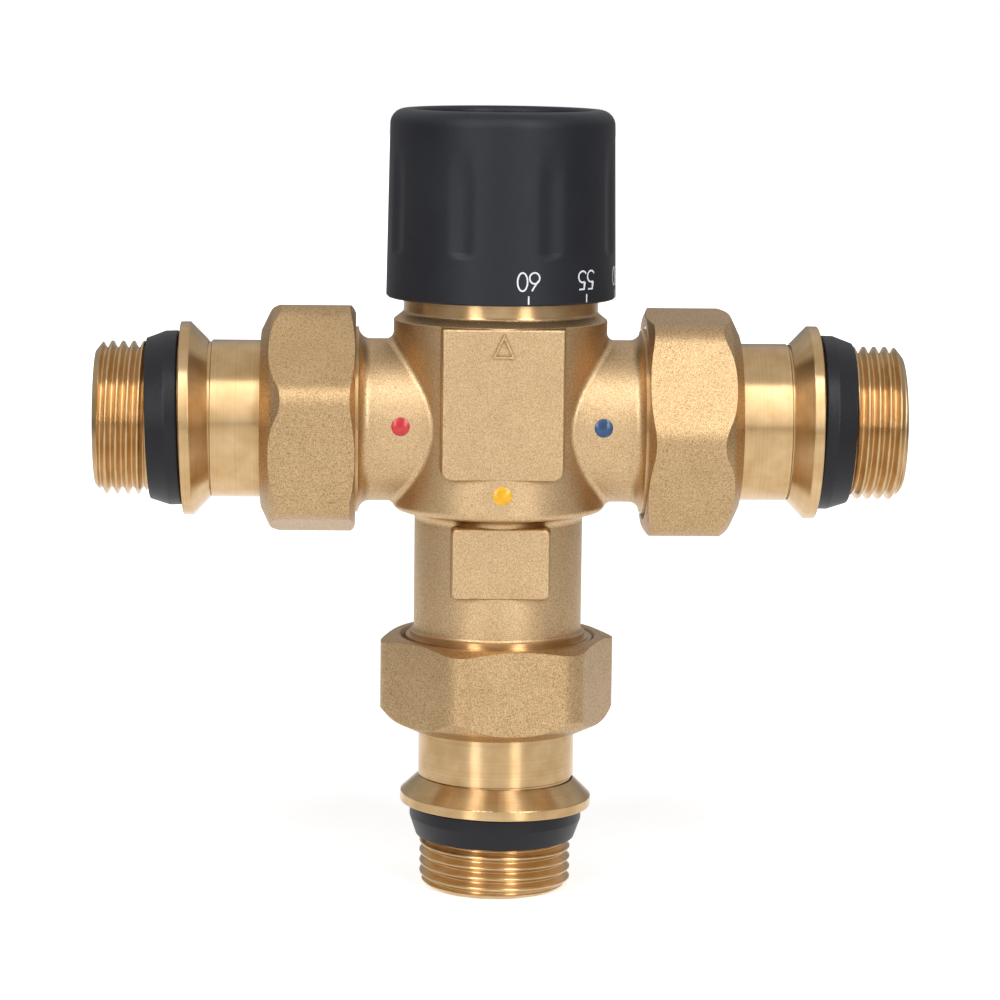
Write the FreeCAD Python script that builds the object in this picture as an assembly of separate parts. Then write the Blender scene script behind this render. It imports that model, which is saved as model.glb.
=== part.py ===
import FreeCAD, Part
import math
import os

# A three-way mixing valve for hot and cold water, in millimetres.
# Origin at the centre of the mixed outlet's end face, +Z up along the valve axis.
# The hot inlet points along -X and the cold inlet along +X. The dial faces -Y.

# Reach of the body, from the valve axis or the port axis to the inner end of each union nut
side_reach = 24.85
outlet_reach = 37.45

# Union nut, made for a one-inch pipe thread
nut_flats = 37.0
nut_corner_round = 5.8
nut_length = 16.2
nut_lip = 2.9
nut_face_radius = 15.3
nut_shoulder_drop = 1.7
nut_shoulder_inset = 1.6
nut_crown = 4.2
nut_rim_round = 3.0
nut_face_round = 0.5
nut_overcut = 0.5
nut_inner_face_radius = 18.3
nut_inner_chamfer = 0.95
nut_mouth_radius = 17.0
nut_mouth_depth = 1.3
union_thread_radius = 15.9
union_thread_clearance = 0.08
nut_barrel_clearance = 0.1
hot_nut_turn = 15.5
cold_nut_turn = 5.0
mixed_nut_turn = 21.0

# Tailpiece, with an outside three-quarter-inch pipe thread
tail_length = 33.45
tail_flange_radius = 14.9
tail_flange = 2.2
tail_barrel_radius = 13.55
tail_shoulder = 13.6
tail_land_radius = 13.2
tail_relief_radius = 12.3
tail_relief = 0.9
tail_thread_radius = 13.22
tail_thread = 7.35
tail_end_chamfer = 1.3
tail_end_radius = 11.6
tail_bore = 9.25
tail_pocket_radius = 11.2
tail_pocket = 17.0
tail_lug_width = 2.6
tail_lug_height = 1.5
tail_lug_length = 6.0
tail_lug_setback = 2.6
gasket_thickness = 2.0
gasket_bore = 11.6

# Loose backing ring and tapered seal on the tailpiece
ring_bore_clearance = 0.2
ring_big_radius = 16.65
ring_rim = 1.7
ring_cone = 3.0
ring_edge = 0.12
ring_round = 0.2
ring_shoulder_gap = 0.32
seal_bore_clearance = 0.25
seal_big_radius = 15.0
seal_small_radius = 13.85
seal_band = 2.2
seal_taper = 3.3
seal_face_round = 0.3
seal_band_round = 0.6
seal_tip_round = 0.15
seal_gap = 0.3
hot_ring_lean = 1.2
cold_ring_lean = -0.5
mixed_ring_lean = -1.2
hot_seal_lean = 1.6
cold_seal_lean = -1.5
mixed_seal_lean = -0.6

# Body forging
boss_radius = 18.4
boss_top = 17.5
boss_bottom = 15.2
boss_underside_drop = 0.5
boss_edge_round = 1.2
boss_top_round = 0.25
column_radius = 14.55
column_fillet = 1.6
neck_radius = 16.75
neck_foot = 18.8
neck_top = 26.0
neck_round = 0.4
neck_fillet = 0.8
port_radius = 14.0
collar_width = 0.5
collar_flare = 2.0
lip_radius = 15.2
lip_width = 0.8
lip_round = 0.6
port_blend = 1.3
pad_half_width = 10.3
pad_face = 18.55
pad_foot = 8.15
pad_corner = 2.0
pad_edge_round = 0.45
pad_draft = 0.5
pad_root = 12.0
plate_half_width = 8.25
plate_face = 14.75
plate_top = 16.95
plate_foot = 29.0
plate_corner = 1.0
plate_edge_round = 0.3
plate_draft = 0.4
plate_root = 10.5
pointer_apex = 16.7
pointer_base = 12.6
pointer_half_width = 1.9
pointer_line = 0.35
pointer_height = 0.3
mark_radius = 1.58
mark_depth = 0.5
mark_dome = 0.35
side_mark_reach = 17.2
side_mark_rise = 0.4
mixed_mark_drop = 10.7

# Passages in the body
port_bore = 10.5
port_bore_stop = 17.2
chamber_radius = 15.4
seat_height = 11.0
divider_half = 2.6
window_half_width = 8.0
window_gap = 0.4
shutter_radius = 12.0
shutter_running_clearance = 0.06
column_bore = 11.0
spring_ledge_drop = 28.0
spring_ledge = 3.0
spring_ledge_bore = 8.1
outlet_bore = 10.5

# Bonnet, screwed into the neck
bonnet_thread_radius = 13.9
bonnet_thread_clearance = 0.08
bonnet_skirt_bore = 10.4
bonnet_skirt_depth = 2.5
bonnet_o_ring_section = 0.85
bonnet_o_ring_drop = 2.2
bonnet_barrel_bore = 9.3
bonnet_flange_radius = 15.6
bonnet_flange = 1.6
bonnet_flange_round = 0.4
bonnet_hex_flats = 24.0
bonnet_hex = 5.2
bonnet_hex_round = 1.0
bonnet_ceiling = 2.0
gland_radius = 6.6
gland_rise = 2.2
gland_round = 0.5
key_half_width = 1.5
key_reach = 10.2
key_clearance = 0.12

# Spindle
journal_radius = 4.0
journal_clearance = 0.04
spindle_collar_radius = 6.5
spindle_collar = 1.8
collar_end_play = 0.06
spindle_thread_radius = 5.3
spindle_thread_clearance = 0.08
spindle_foot_gap = 0.1
o_ring_section = 0.6
o_ring_squeeze = 0.01
o_ring_spacing = 2.6
circlip_width = 0.9
circlip_radius = 5.6
circlip_groove_depth = 0.8
circlip_gap = 2.2
groove_play = 0.02
spindle_tip_round = 0.3
spline_teeth = 16
spline_depth = 0.35
spline_length = 8.5
spline_clearance = 0.05
screw_radius = 1.95
screw_thread_clearance = 0.05
screw_length = 7.0
screw_hole_over = 1.0
screw_head_radius = 3.7
screw_head = 2.0
screw_head_round = 0.8
screw_recess_half_width = 0.5
screw_recess_half_length = 2.0
screw_recess_depth = 1.2

# Lift carrier with its over travel spring
carrier_radius = 8.5
carrier_nut_length = 4.6
carrier_head_gap = 0.8
carrier_pocket_radius = 6.5
carrier_length = 12.2
carrier_ring_thickness = 0.9
carrier_ring_groove = 0.7
carrier_ring_bore = 4.2
cup_radius = 6.2
cup_thickness = 1.4
cup_rim = 0.9
cup_rim_height = 1.0
over_spring_wire = 0.55
over_spring_turns = 3
over_spring_clearance = 0.25

# Wax element and its piston
piston_radius = 1.5
piston_clearance = 0.06
piston_grip = 5.0
element_neck_radius = 3.2
element_neck = 4.6
element_flange_radius = 7.2
element_flange = 1.5
element_barrel_radius = 5.9
element_bulb_radius = 4.8
element_bulb = 21.0
element_bulb_round = 2.0
element_edge_round = 0.4
carrier_element_gap = 1.6

# Shutter, a sleeve held on the element by a spoked hub
shutter_bore = 10.4
shutter_length = 18.8
shutter_cold_gap = 0.1
shutter_o_ring_section = 0.55
shutter_o_ring_height = 1.4
hub_radius = 8.9
hub_height = 3.0
hub_clearance = 0.1
spoke_count = 4
spoke_half_width = 1.1
return_wire = 0.7
return_turns = 6
return_spring_radius = 8.15
spring_end_gap = 0.03

# Knob
knob_foot = 21.4
knob_height = 32.1
knob_foot_radius = 19.75
knob_top_radius = 19.2
knob_edge_round = 2.6
knob_foot_round = 0.3
knob_rim_bore = 15.2
knob_rim_round = 1.0
knob_recess_depth = 15.0
knob_recess_draft = 0.4
knob_recess_round = 0.8
knob_floor = 2.4
knob_skirt_bore = 17.7
knob_skirt_clearance = 0.6
knob_wall_draft = 0.6
knob_hollow_round = 1.0
knob_hub_radius = 6.4
knob_hub_rise = 7.4
knob_hub_draft = 0.2
knob_hub_fillet = 0.6
knob_hub_round = 0.4
flute_count = 8
flute_radius = 5.2
flute_depth = 0.75
flute_turn = 2.5
flute_foot = 7.6
flute_head = 4.6

# Check valve in each inlet tailpiece
check_setback = 0.3
check_wall_radius = 11.1
check_mouth_chamfer = 0.5
check_length = 16.4
check_bore = 8.7
check_seat_bore = 6.6
check_seat_from_mouth = 4.6
check_o_ring_section = 0.7
check_o_ring_from_mouth = 2.2
retainer_thickness = 2.2
retainer_rim = 1.2
retainer_hub_radius = 2.8
retainer_spoke_half_width = 0.7
retainer_spokes = 3
retainer_clearance = 0.05
poppet_radius = 7.3
poppet_plate = 1.3
poppet_cone = 1.2
poppet_stem_radius = 1.4
poppet_stem_clearance = 0.08
poppet_stem_over = 0.6
poppet_seat_gap = 0.05
check_spring_wire = 0.35
check_spring_radius = 2.4
check_spring_turns = 4

# Places that follow from the sizes above
nut_engagement = nut_length - nut_lip - tail_flange - gasket_thickness
tail_start = nut_engagement + gasket_thickness
tail_end = tail_start + tail_length
port_height = outlet_reach + tail_end
thread_end = tail_end - tail_end_chamfer
thread_start = thread_end - tail_thread
relief_start = thread_start - tail_relief
shoulder_place = tail_start + tail_shoulder
collar_radius = port_radius + collar_flare

UP = FreeCAD.Vector(0, 0, 1)
ORIGIN = FreeCAD.Vector(0, 0, 0)


def in_section(across, along):
    """A point of a section, as radius and height in the plane of X and Z."""
    return FreeCAD.Vector(across, 0, along)


def in_front(depth):
    """Points of a front view, as X and height, at a stated distance in front of the valve axis."""
    return lambda across, along: FreeCAD.Vector(across, -depth, along)


def in_plan(across, along):
    """A point of a plan, in the plane of X and Y."""
    return FreeCAD.Vector(across, along, 0)


def outline(points, plane=in_section):
    """A closed wire through (across, along) points, rounded where a third value gives a radius."""
    corners = []
    for index, point in enumerate(points):
        here = plane(point[0], point[1])
        before = plane(*points[index - 1][:2])
        after = plane(*points[(index + 1) % len(points)][:2])
        if len(point) == 2:
            corners.append((here, None, here))
            continue
        back = (before - here).normalize()
        ahead = (after - here).normalize()
        half_angle = back.getAngle(ahead) / 2
        cut = point[2] / math.tan(half_angle)
        inward = (back + ahead).normalize()
        centre = here + inward * (point[2] / math.sin(half_angle))
        corners.append((here + back * cut, centre - inward * point[2], here + ahead * cut))
    edges = []
    for index, (start, middle, end) in enumerate(corners):
        if middle is not None:
            edges.append(Part.Arc(start, middle, end).toShape())
        following = corners[(index + 1) % len(corners)][0]
        if (following - end).Length > 1e-6:
            edges.append(Part.LineSegment(end, following).toShape())
    return Part.Wire(edges)


def turned(points):
    """A solid turned about the Z axis from a section."""
    return Part.Face(outline(points)).revolve(ORIGIN, UP, 360)


def prism(points, low, high):
    """A solid with a plan, from one height to another."""
    solid = Part.Face(outline(points, in_plan)).extrude(UP * (high - low))
    solid.translate(UP * low)
    return solid


def rod(radius, low, high):
    """A round bar on the Z axis."""
    return Part.makeCylinder(radius, high - low, UP * low)


def tube(outer, inner, low, high):
    """A round tube on the Z axis."""
    return rod(outer, low, high).cut(rod(inner, low, high))


def box(half_x, half_y, low, high):
    """A block centred on the Z axis."""
    return Part.makeBox(2 * half_x, 2 * half_y, high - low, FreeCAD.Vector(-half_x, -half_y, low))


def hexagon(flats, corner_round, low, high):
    """A hexagonal bar with one corner toward +X."""
    corner = flats / math.sqrt(3)
    points = []
    for side in range(6):
        angle = math.radians(60 * side)
        points.append((corner * math.cos(angle), corner * math.sin(angle), corner_round))
    return prism(points, low, high)


def o_ring(mean_radius, section, height):
    """A round-section ring about the Z axis."""
    return Part.makeTorus(mean_radius, section, UP * height)


def coil(mean_radius, wire, low, high, turns):
    """A compression spring between two heights, with its end turns running flat."""
    first = low + wire
    rise = high - low - 2 * wire
    path = Part.makeLongHelix(rise / turns, rise, mean_radius)
    path.translate(UP * first)
    start = FreeCAD.Vector(mean_radius, 0, first)
    section = Part.Wire(Part.makeCircle(wire, start, FreeCAD.Vector(0, 1, 0)))
    spring = Part.Wire(path.Edges).makePipeShell([section], True, True)
    return spring


def rounded(solid, radius, chosen):
    """The solid with the edges that a test picks rounded."""
    return solid.makeFillet(radius, [edge for edge in solid.Edges if chosen(edge)])


def placed(solid, outward, start):
    """A solid built along +Z, set with +Z along a port and its +X side to the front."""
    front = FreeCAD.Vector(0, -1, 0)
    side = outward.cross(front)
    turn = FreeCAD.Matrix(
        front.x, side.x, outward.x, start.x,
        front.y, side.y, outward.y, start.y,
        front.z, side.z, outward.z, start.z,
        0, 0, 0, 1,
    )
    return solid.transformed(turn, copy=True)


def lifted(solid):
    """A solid built about the port axis height, raised to its place above the outlet's end."""
    raised = solid.copy()
    raised.translate(UP * port_height)
    return raised


PORTS = {
    "hot": (FreeCAD.Vector(-1, 0, 0), FreeCAD.Vector(-side_reach, 0, port_height)),
    "cold": (FreeCAD.Vector(1, 0, 0), FreeCAD.Vector(side_reach, 0, port_height)),
    "mixed": (FreeCAD.Vector(0, 0, -1), FreeCAD.Vector(0, 0, port_height - outlet_reach)),
}


# Union nut
def union_nut(turn):
    """A hexagon nut with a crowned outer end, a small inner chamfer and a lip that holds the tailpiece."""
    corner = (nut_flats / 2 - nut_corner_round) / math.cos(math.pi / 6) + nut_corner_round
    wide = corner + nut_overcut
    blank = hexagon(nut_flats, nut_corner_round, 0, nut_length)
    chamfer = nut_inner_chamfer * (wide - nut_inner_face_radius) / (corner - nut_inner_face_radius)
    crown = turned([
        (0, 0),
        (nut_inner_face_radius, 0),
        (wide, chamfer),
        (wide, nut_length - nut_crown),
        (corner - nut_shoulder_inset, nut_length - nut_shoulder_drop, nut_rim_round),
        (nut_face_radius, nut_length, nut_face_round),
        (0, nut_length),
    ])
    thread = union_thread_radius + union_thread_clearance
    hollow = turned([
        (0, 0),
        (nut_mouth_radius, 0),
        (thread, nut_mouth_depth),
        (thread, nut_length - nut_lip),
        (tail_barrel_radius + nut_barrel_clearance, nut_length - nut_lip),
        (tail_barrel_radius + nut_barrel_clearance, nut_length),
        (0, nut_length),
    ])
    nut = blank.common(crown).cut(hollow)
    nut.rotate(ORIGIN, UP, turn)
    return nut


# Tailpiece
def tailpiece():
    """A turned tail with a sealing flange, a barrel, a land for the loose rings and a thread stretch."""
    outside = turned([
        (0, tail_start),
        (tail_flange_radius, tail_start),
        (tail_flange_radius, tail_start + tail_flange),
        (tail_barrel_radius, tail_start + tail_flange),
        (tail_barrel_radius, shoulder_place),
        (tail_land_radius, shoulder_place),
        (tail_land_radius, relief_start),
        (tail_relief_radius, relief_start),
        (tail_relief_radius, thread_start),
        (tail_thread_radius, thread_start),
        (tail_thread_radius, thread_end),
        (tail_end_radius, tail_end),
        (0, tail_end),
    ])
    bore = turned([
        (0, tail_start),
        (tail_pocket_radius, tail_start),
        (tail_pocket_radius, tail_start + tail_pocket),
        (tail_bore, tail_start + tail_pocket + tail_pocket_radius - tail_bore),
        (tail_bore, tail_end),
        (0, tail_end),
    ])
    lugs_top = tail_end - tail_lug_setback
    lugs_foot = lugs_top - tail_lug_length
    bar = box(tail_bore + tail_lug_height, tail_lug_width / 2, lugs_foot, lugs_top)
    ring = tube(tail_bore + tail_lug_height, tail_bore - tail_lug_height, lugs_foot, lugs_top)
    lugs = bar.common(ring)
    lugs.rotate(ORIGIN, UP, 90)
    return outside.cut(bore).fuse(lugs).removeSplitter()


def union_gasket():
    """The flat ring pressed between the spigot and the tailpiece."""
    return tube(tail_flange_radius, gasket_bore, nut_engagement, tail_start)


# Loose rings on the tailpiece
ring_start = shoulder_place + ring_shoulder_gap
ring_end = ring_start + ring_cone + ring_rim
seal_start = ring_end + seal_gap
seal_end = seal_start + seal_band + seal_taper


def leaned(solid, lean, middle):
    """A loose ring tipped about its own middle."""
    tipped = solid.copy()
    tipped.rotate(UP * middle, FreeCAD.Vector(1, 0, 0), lean)
    return tipped


def backing_ring(lean):
    """A turned ring with a flat rim toward the thread and a cone toward the nut."""
    bore = tail_land_radius + ring_bore_clearance
    ring = turned([
        (bore, ring_start),
        (bore + ring_edge, ring_start),
        (ring_big_radius, ring_start + ring_cone, ring_round),
        (ring_big_radius, ring_end, ring_round),
        (bore, ring_end),
    ])
    return leaned(ring, lean, (ring_start + ring_end) / 2)


def tapered_seal(lean):
    """A rubber ring with a straight band and a taper toward the thread."""
    bore = tail_land_radius + seal_bore_clearance
    seal = turned([
        (bore, seal_start),
        (seal_big_radius, seal_start, seal_face_round),
        (seal_big_radius, seal_start + seal_band, seal_band_round),
        (seal_small_radius, seal_end, seal_tip_round),
        (bore, seal_end),
    ])
    return leaned(seal, lean, (seal_start + seal_end) / 2)


# Check valve, built along the tailpiece with the flow running toward the body
check_start = tail_start + check_setback
check_end = check_start + check_length
seat_place = check_end - check_seat_from_mouth
poppet_face = seat_place - poppet_seat_gap


def check_housing():
    """A moulded sleeve with a seat near its outer mouth and a groove for its ring."""
    ring_height = check_end - check_o_ring_from_mouth
    groove = 2 * check_o_ring_section
    outside = turned([
        (check_seat_bore, check_end),
        (check_wall_radius - check_mouth_chamfer, check_end),
        (check_wall_radius, check_end - check_mouth_chamfer),
        (check_wall_radius, ring_height + check_o_ring_section),
        (check_wall_radius - groove, ring_height + check_o_ring_section),
        (check_wall_radius - groove, ring_height - check_o_ring_section),
        (check_wall_radius, ring_height - check_o_ring_section),
        (check_wall_radius, check_start),
        (check_bore, check_start),
        (check_bore, seat_place),
        (check_seat_bore, seat_place + check_bore - check_seat_bore),
    ])
    return outside


def check_retainer():
    """A ring with spokes and a hub that guides the poppet's stem."""
    top = check_start + retainer_thickness
    outer = check_bore - retainer_clearance
    rim = tube(outer, outer - retainer_rim, check_start, top)
    hub = rod(retainer_hub_radius, check_start, top)
    spokes = []
    for index in range(retainer_spokes):
        spoke = Part.makeBox(
            outer - retainer_rim / 2, 2 * retainer_spoke_half_width, retainer_thickness,
            FreeCAD.Vector(0, -retainer_spoke_half_width, check_start))
        spoke.rotate(ORIGIN, UP, 360 * index / retainer_spokes)
        spokes.append(spoke)
    bore = rod(poppet_stem_radius + poppet_stem_clearance, check_start, top)
    return rim.fuse([hub] + spokes).cut(bore).removeSplitter()


def check_poppet():
    """A plate with a coned face and a stem that runs back through the retainer."""
    edge = poppet_face + check_bore - poppet_radius
    return turned([
        (0, check_start - poppet_stem_over),
        (poppet_stem_radius, check_start - poppet_stem_over),
        (poppet_stem_radius, edge - poppet_plate),
        (poppet_radius, edge - poppet_plate),
        (poppet_radius, edge),
        (poppet_radius - poppet_cone, edge + poppet_cone),
        (0, edge + poppet_cone),
    ])


def check_spring():
    """The light spring that closes the poppet."""
    low = check_start + retainer_thickness + spring_end_gap
    high = poppet_face + check_bore - poppet_radius - poppet_plate - spring_end_gap
    return coil(check_spring_radius, check_spring_wire, low, high, check_spring_turns)


def check_ring():
    """The housing's ring in its groove."""
    mean = check_wall_radius - check_o_ring_section
    return o_ring(mean - o_ring_squeeze, check_o_ring_section - o_ring_squeeze,
                  check_end - check_o_ring_from_mouth)


# Body, built with the port axis at height zero
def port_blank():
    """One side port, turned about its own axis from the middle of the body outward."""
    spigot_end = side_reach + nut_engagement
    return turned([
        (0, 0),
        (port_radius, 0),
        (port_radius, side_reach - collar_width, collar_flare),
        (collar_radius, side_reach - collar_width),
        (collar_radius, side_reach),
        (union_thread_radius, side_reach),
        (union_thread_radius, spigot_end),
        (0, spigot_end),
    ])


def trunk():
    """The upright boss with its neck, and the column with its spigot."""
    underside = -boss_bottom - boss_underside_drop
    lip = -outlet_reach + lip_width
    return turned([
        (0, neck_top),
        (neck_radius, neck_top, neck_round),
        (neck_radius, neck_foot, neck_fillet),
        (boss_radius, boss_top, boss_top_round),
        (boss_radius, -boss_bottom, boss_edge_round),
        (column_radius, underside, column_fillet),
        (column_radius, lip, lip_round),
        (lip_radius, lip),
        (lip_radius, -outlet_reach),
        (union_thread_radius, -outlet_reach),
        (union_thread_radius, -outlet_reach - nut_engagement),
        (0, -outlet_reach - nut_engagement),
    ])


def tablet(half_width, high, foot, round_top, round_foot, face, root, draft, edge_round):
    """A raised flat pad with drafted walls and rounded corners, drawn in from a deeper, wider outline."""
    outlines = []
    for depth, grow in ((face, 0), (root, draft)):
        side = half_width + grow
        upper = [(-side, high), (side, high)]
        if round_top:
            upper = [(-side, high + grow, round_top), (side, high + grow, round_top)]
        lower = [(side, foot - grow, round_foot), (-side, foot - grow, round_foot)]
        outlines.append(outline(upper + lower, in_front(depth)))
    solid = Part.makeLoft(outlines, True, True)
    return rounded(solid, edge_round, lambda edge: edge.BoundBox.YMax < -face + 1e-6)


def pointer():
    """The raised outline of a triangle that the dial is read against."""
    inset = pointer_line
    outer = [(-pointer_half_width, pointer_base), (pointer_half_width, pointer_base), (0, pointer_apex)]
    slope = math.atan2(pointer_apex - pointer_base, pointer_half_width)
    side_cut = inset / math.sin(slope) + inset / math.tan(slope)
    inner = [
        (-pointer_half_width + side_cut, pointer_base + inset),
        (pointer_half_width - side_cut, pointer_base + inset),
        (0, pointer_apex - inset / math.cos(slope)),
    ]
    bars = Part.Face(outline(outer, in_front(pad_root))).cut(Part.Face(outline(inner, in_front(pad_root))))
    return bars.extrude(FreeCAD.Vector(0, pad_root - pad_face - pointer_height, 0))


def dimple(radius, depth):
    """A shallow round pocket along +Z from height zero down."""
    return rod(radius, -depth, depth)


# Each coloured mark: how far along X, its height, and how far in front of the valve axis its surface lies
MARKS = {
    "hot_mark": (-side_mark_reach, side_mark_rise, port_radius),
    "cold_mark": (side_mark_reach, side_mark_rise, port_radius),
    "mixed_mark": (0, -mixed_mark_drop, boss_radius),
}


def at_mark(name, solid):
    """A solid built along +Z, turned to stand out of the body's front at a mark's place."""
    across, height, depth = MARKS[name]
    turned_out = solid.copy()
    turned_out.rotate(ORIGIN, FreeCAD.Vector(1, 0, 0), 90)
    turned_out.translate(FreeCAD.Vector(across, -depth, height))
    return turned_out


def enamel_drop():
    """A drop of enamel with a domed top, that fills its dimple."""
    ball = (mark_radius ** 2 + mark_dome ** 2) / (2 * mark_dome)
    dome = Part.makeSphere(ball, UP * (mark_dome - ball))
    return rod(mark_radius, -mark_depth, mark_dome).common(dome)


def passages():
    """Everything cut out of the body: chambers, seats, port bores, the bonnet's seat and the outlet."""
    window_low = divider_half + window_gap
    bonnet_bore = bonnet_thread_radius + bonnet_thread_clearance
    cuts = [
        turned([
            (0, neck_top),
            (bonnet_bore, neck_top),
            (bonnet_bore, seat_height),
            (chamber_radius, seat_height),
            (chamber_radius, divider_half),
            (shutter_radius + shutter_running_clearance, divider_half),
            (shutter_radius + shutter_running_clearance, -divider_half),
            (chamber_radius, -divider_half),
            (chamber_radius, -seat_height),
            (column_bore, -seat_height),
            (column_bore, -spring_ledge_drop),
            (spring_ledge_bore, -spring_ledge_drop),
            (spring_ledge_bore, -spring_ledge_drop - spring_ledge),
            (outlet_bore, -spring_ledge_drop - spring_ledge),
            (outlet_bore, -outlet_reach - nut_engagement),
            (0, -outlet_reach - nut_engagement),
        ]),
    ]
    for name, low in (("hot", -seat_height + window_gap), ("cold", window_low)):
        outward = PORTS[name][0]
        cuts.append(placed(rod(port_bore, port_bore_stop, side_reach + nut_engagement), outward, ORIGIN))
        high = low + seat_height - window_gap - window_low
        middle = FreeCAD.Vector(outward.x * port_bore_stop / 2, 0, 0)
        window = box(port_bore_stop / 2 + window_gap, window_half_width, low, high)
        window.translate(middle)
        cuts.append(window.common(placed(rod(port_bore, 0, side_reach), outward, ORIGIN))
                    .cut(rod(column_bore, -side_reach, side_reach)))
    return cuts


def valve_body():
    """The forged body with its machined neck, spigots and passages."""
    body = trunk()
    for name in ("hot", "cold"):
        body = body.fuse(placed(port_blank(), PORTS[name][0], ORIGIN))
    body = rounded(body, port_blend, lambda edge: not isinstance(edge.Curve, (Part.Line, Part.Circle)))
    pad = tablet(pad_half_width, boss_top, -pad_foot, 0, pad_corner,
                 pad_face, pad_root, pad_draft, pad_edge_round)
    plate = tablet(plate_half_width, -plate_top, -plate_foot, plate_corner, plate_corner,
                   plate_face, plate_root, plate_draft, plate_edge_round)
    body = body.fuse([pad, plate, pointer()])
    dimples = [at_mark(name, dimple(mark_radius, mark_depth)) for name in MARKS]
    return body.cut(dimples + passages()).removeSplitter()


# Bonnet, built with the port axis at height zero
bonnet_foot = seat_height
bonnet_hex_foot = neck_top + bonnet_flange
gland_top = bonnet_hex_foot + bonnet_hex + gland_rise
gland_foot = bonnet_hex_foot + bonnet_hex - bonnet_ceiling
gland_bore = journal_radius + journal_clearance


def bonnet():
    """The brass insert that closes the neck, guides the carrier and holds the spindle."""
    groove_middle = bonnet_foot + bonnet_o_ring_drop
    groove_bottom = bonnet_thread_radius - 2 * bonnet_o_ring_section
    outside = turned([
        (0, bonnet_foot),
        (bonnet_thread_radius, bonnet_foot),
        (bonnet_thread_radius, groove_middle - bonnet_o_ring_section),
        (groove_bottom, groove_middle - bonnet_o_ring_section),
        (groove_bottom, groove_middle + bonnet_o_ring_section),
        (bonnet_thread_radius, groove_middle + bonnet_o_ring_section),
        (bonnet_thread_radius, neck_top),
        (bonnet_flange_radius, neck_top),
        (bonnet_flange_radius, bonnet_hex_foot, bonnet_flange_round),
        (0, bonnet_hex_foot),
    ])
    nut = hexagon(bonnet_hex_flats, bonnet_hex_round, bonnet_hex_foot, bonnet_hex_foot + bonnet_hex)
    gland = turned([
        (0, bonnet_hex_foot),
        (gland_radius, bonnet_hex_foot),
        (gland_radius, gland_top, gland_round),
        (0, gland_top),
    ])
    bore = turned([
        (0, bonnet_foot),
        (bonnet_skirt_bore, bonnet_foot),
        (bonnet_skirt_bore, bonnet_foot + bonnet_skirt_depth),
        (bonnet_barrel_bore, bonnet_foot + bonnet_skirt_depth),
        (bonnet_barrel_bore, gland_foot),
        (gland_bore, gland_foot),
        (gland_bore, gland_top),
        (0, gland_top),
    ])
    slot_half = key_half_width + key_clearance
    slots = box(key_reach + key_clearance, slot_half, bonnet_foot, gland_foot)
    return outside.fuse([nut, gland]).cut([bore, slots]).removeSplitter()


def bonnet_o_ring():
    """The ring that seals the bonnet in the neck."""
    section = bonnet_o_ring_section - o_ring_squeeze
    return o_ring(bonnet_thread_radius - bonnet_o_ring_section, section, bonnet_foot + bonnet_o_ring_drop)


# Spindle
collar_top = gland_foot - collar_end_play
collar_foot = collar_top - spindle_collar
carrier_top = collar_foot - carrier_head_gap
carrier_ledge = carrier_top - carrier_nut_length
spindle_foot = carrier_ledge + spindle_foot_gap
circlip_foot = gland_top + collar_end_play
spline_foot = circlip_foot + 2 * circlip_width
spindle_top = spline_foot + spline_length
first_o_ring = gland_foot + (gland_top - gland_foot - o_ring_spacing) / 2


def spindle():
    """The turned stem with its left-hand screw, thrust collar, two ring grooves and splined end."""
    groove = journal_radius - 2 * o_ring_section
    points = [
        (0, spindle_foot),
        (spindle_thread_radius, spindle_foot),
        (spindle_thread_radius, collar_foot),
        (spindle_collar_radius, collar_foot),
        (spindle_collar_radius, collar_top),
        (journal_radius, collar_top),
    ]
    for middle in (first_o_ring, first_o_ring + o_ring_spacing):
        points += [
            (journal_radius, middle - o_ring_section),
            (groove, middle - o_ring_section),
            (groove, middle + o_ring_section),
            (journal_radius, middle + o_ring_section),
        ]
    points += [
        (journal_radius, circlip_foot),
        (journal_radius - circlip_groove_depth, circlip_foot),
        (journal_radius - circlip_groove_depth, circlip_foot + circlip_width),
        (journal_radius, circlip_foot + circlip_width),
        (journal_radius, spindle_top, spindle_tip_round),
        (0, spindle_top),
    ]
    stem = turned(points)
    hole_foot = spindle_top - screw_length - screw_hole_over
    hole = rod(screw_radius + screw_thread_clearance, hole_foot, spindle_top)
    grooves = []
    for tooth in range(spline_teeth):
        groove_cut = box(spline_depth, spline_depth, spline_foot, spindle_top)
        groove_cut.rotate(ORIGIN, UP, 45)
        groove_cut.translate(FreeCAD.Vector(journal_radius, 0, 0))
        groove_cut.rotate(ORIGIN, UP, 360 * tooth / spline_teeth)
        grooves.append(groove_cut)
    return stem.cut([hole] + grooves)


def spindle_o_rings():
    """The pair of rings that seal the stem in the gland."""
    mean = journal_radius - o_ring_section
    rings = [o_ring(mean, o_ring_section - o_ring_squeeze, first_o_ring + step * o_ring_spacing)
             for step in range(2)]
    return Part.makeCompound(rings)


def spindle_circlip():
    """The open spring ring that stops the stem from dropping back through the gland."""
    inner = journal_radius - circlip_groove_depth + spline_clearance
    circlip_head = circlip_foot + circlip_width
    ring = tube(circlip_radius, inner, circlip_foot + groove_play, circlip_head - groove_play)
    opening = box(circlip_radius, circlip_gap / 2, circlip_foot, circlip_head)
    opening.translate(FreeCAD.Vector(circlip_radius, 0, 0))
    return ring.cut(opening)


# Lift carrier and what it holds
carrier_foot = carrier_top - carrier_length
ring_groove_foot = carrier_foot + carrier_ring_groove
cup_foot = ring_groove_foot + carrier_ring_thickness
cup_top = cup_foot + cup_thickness


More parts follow.
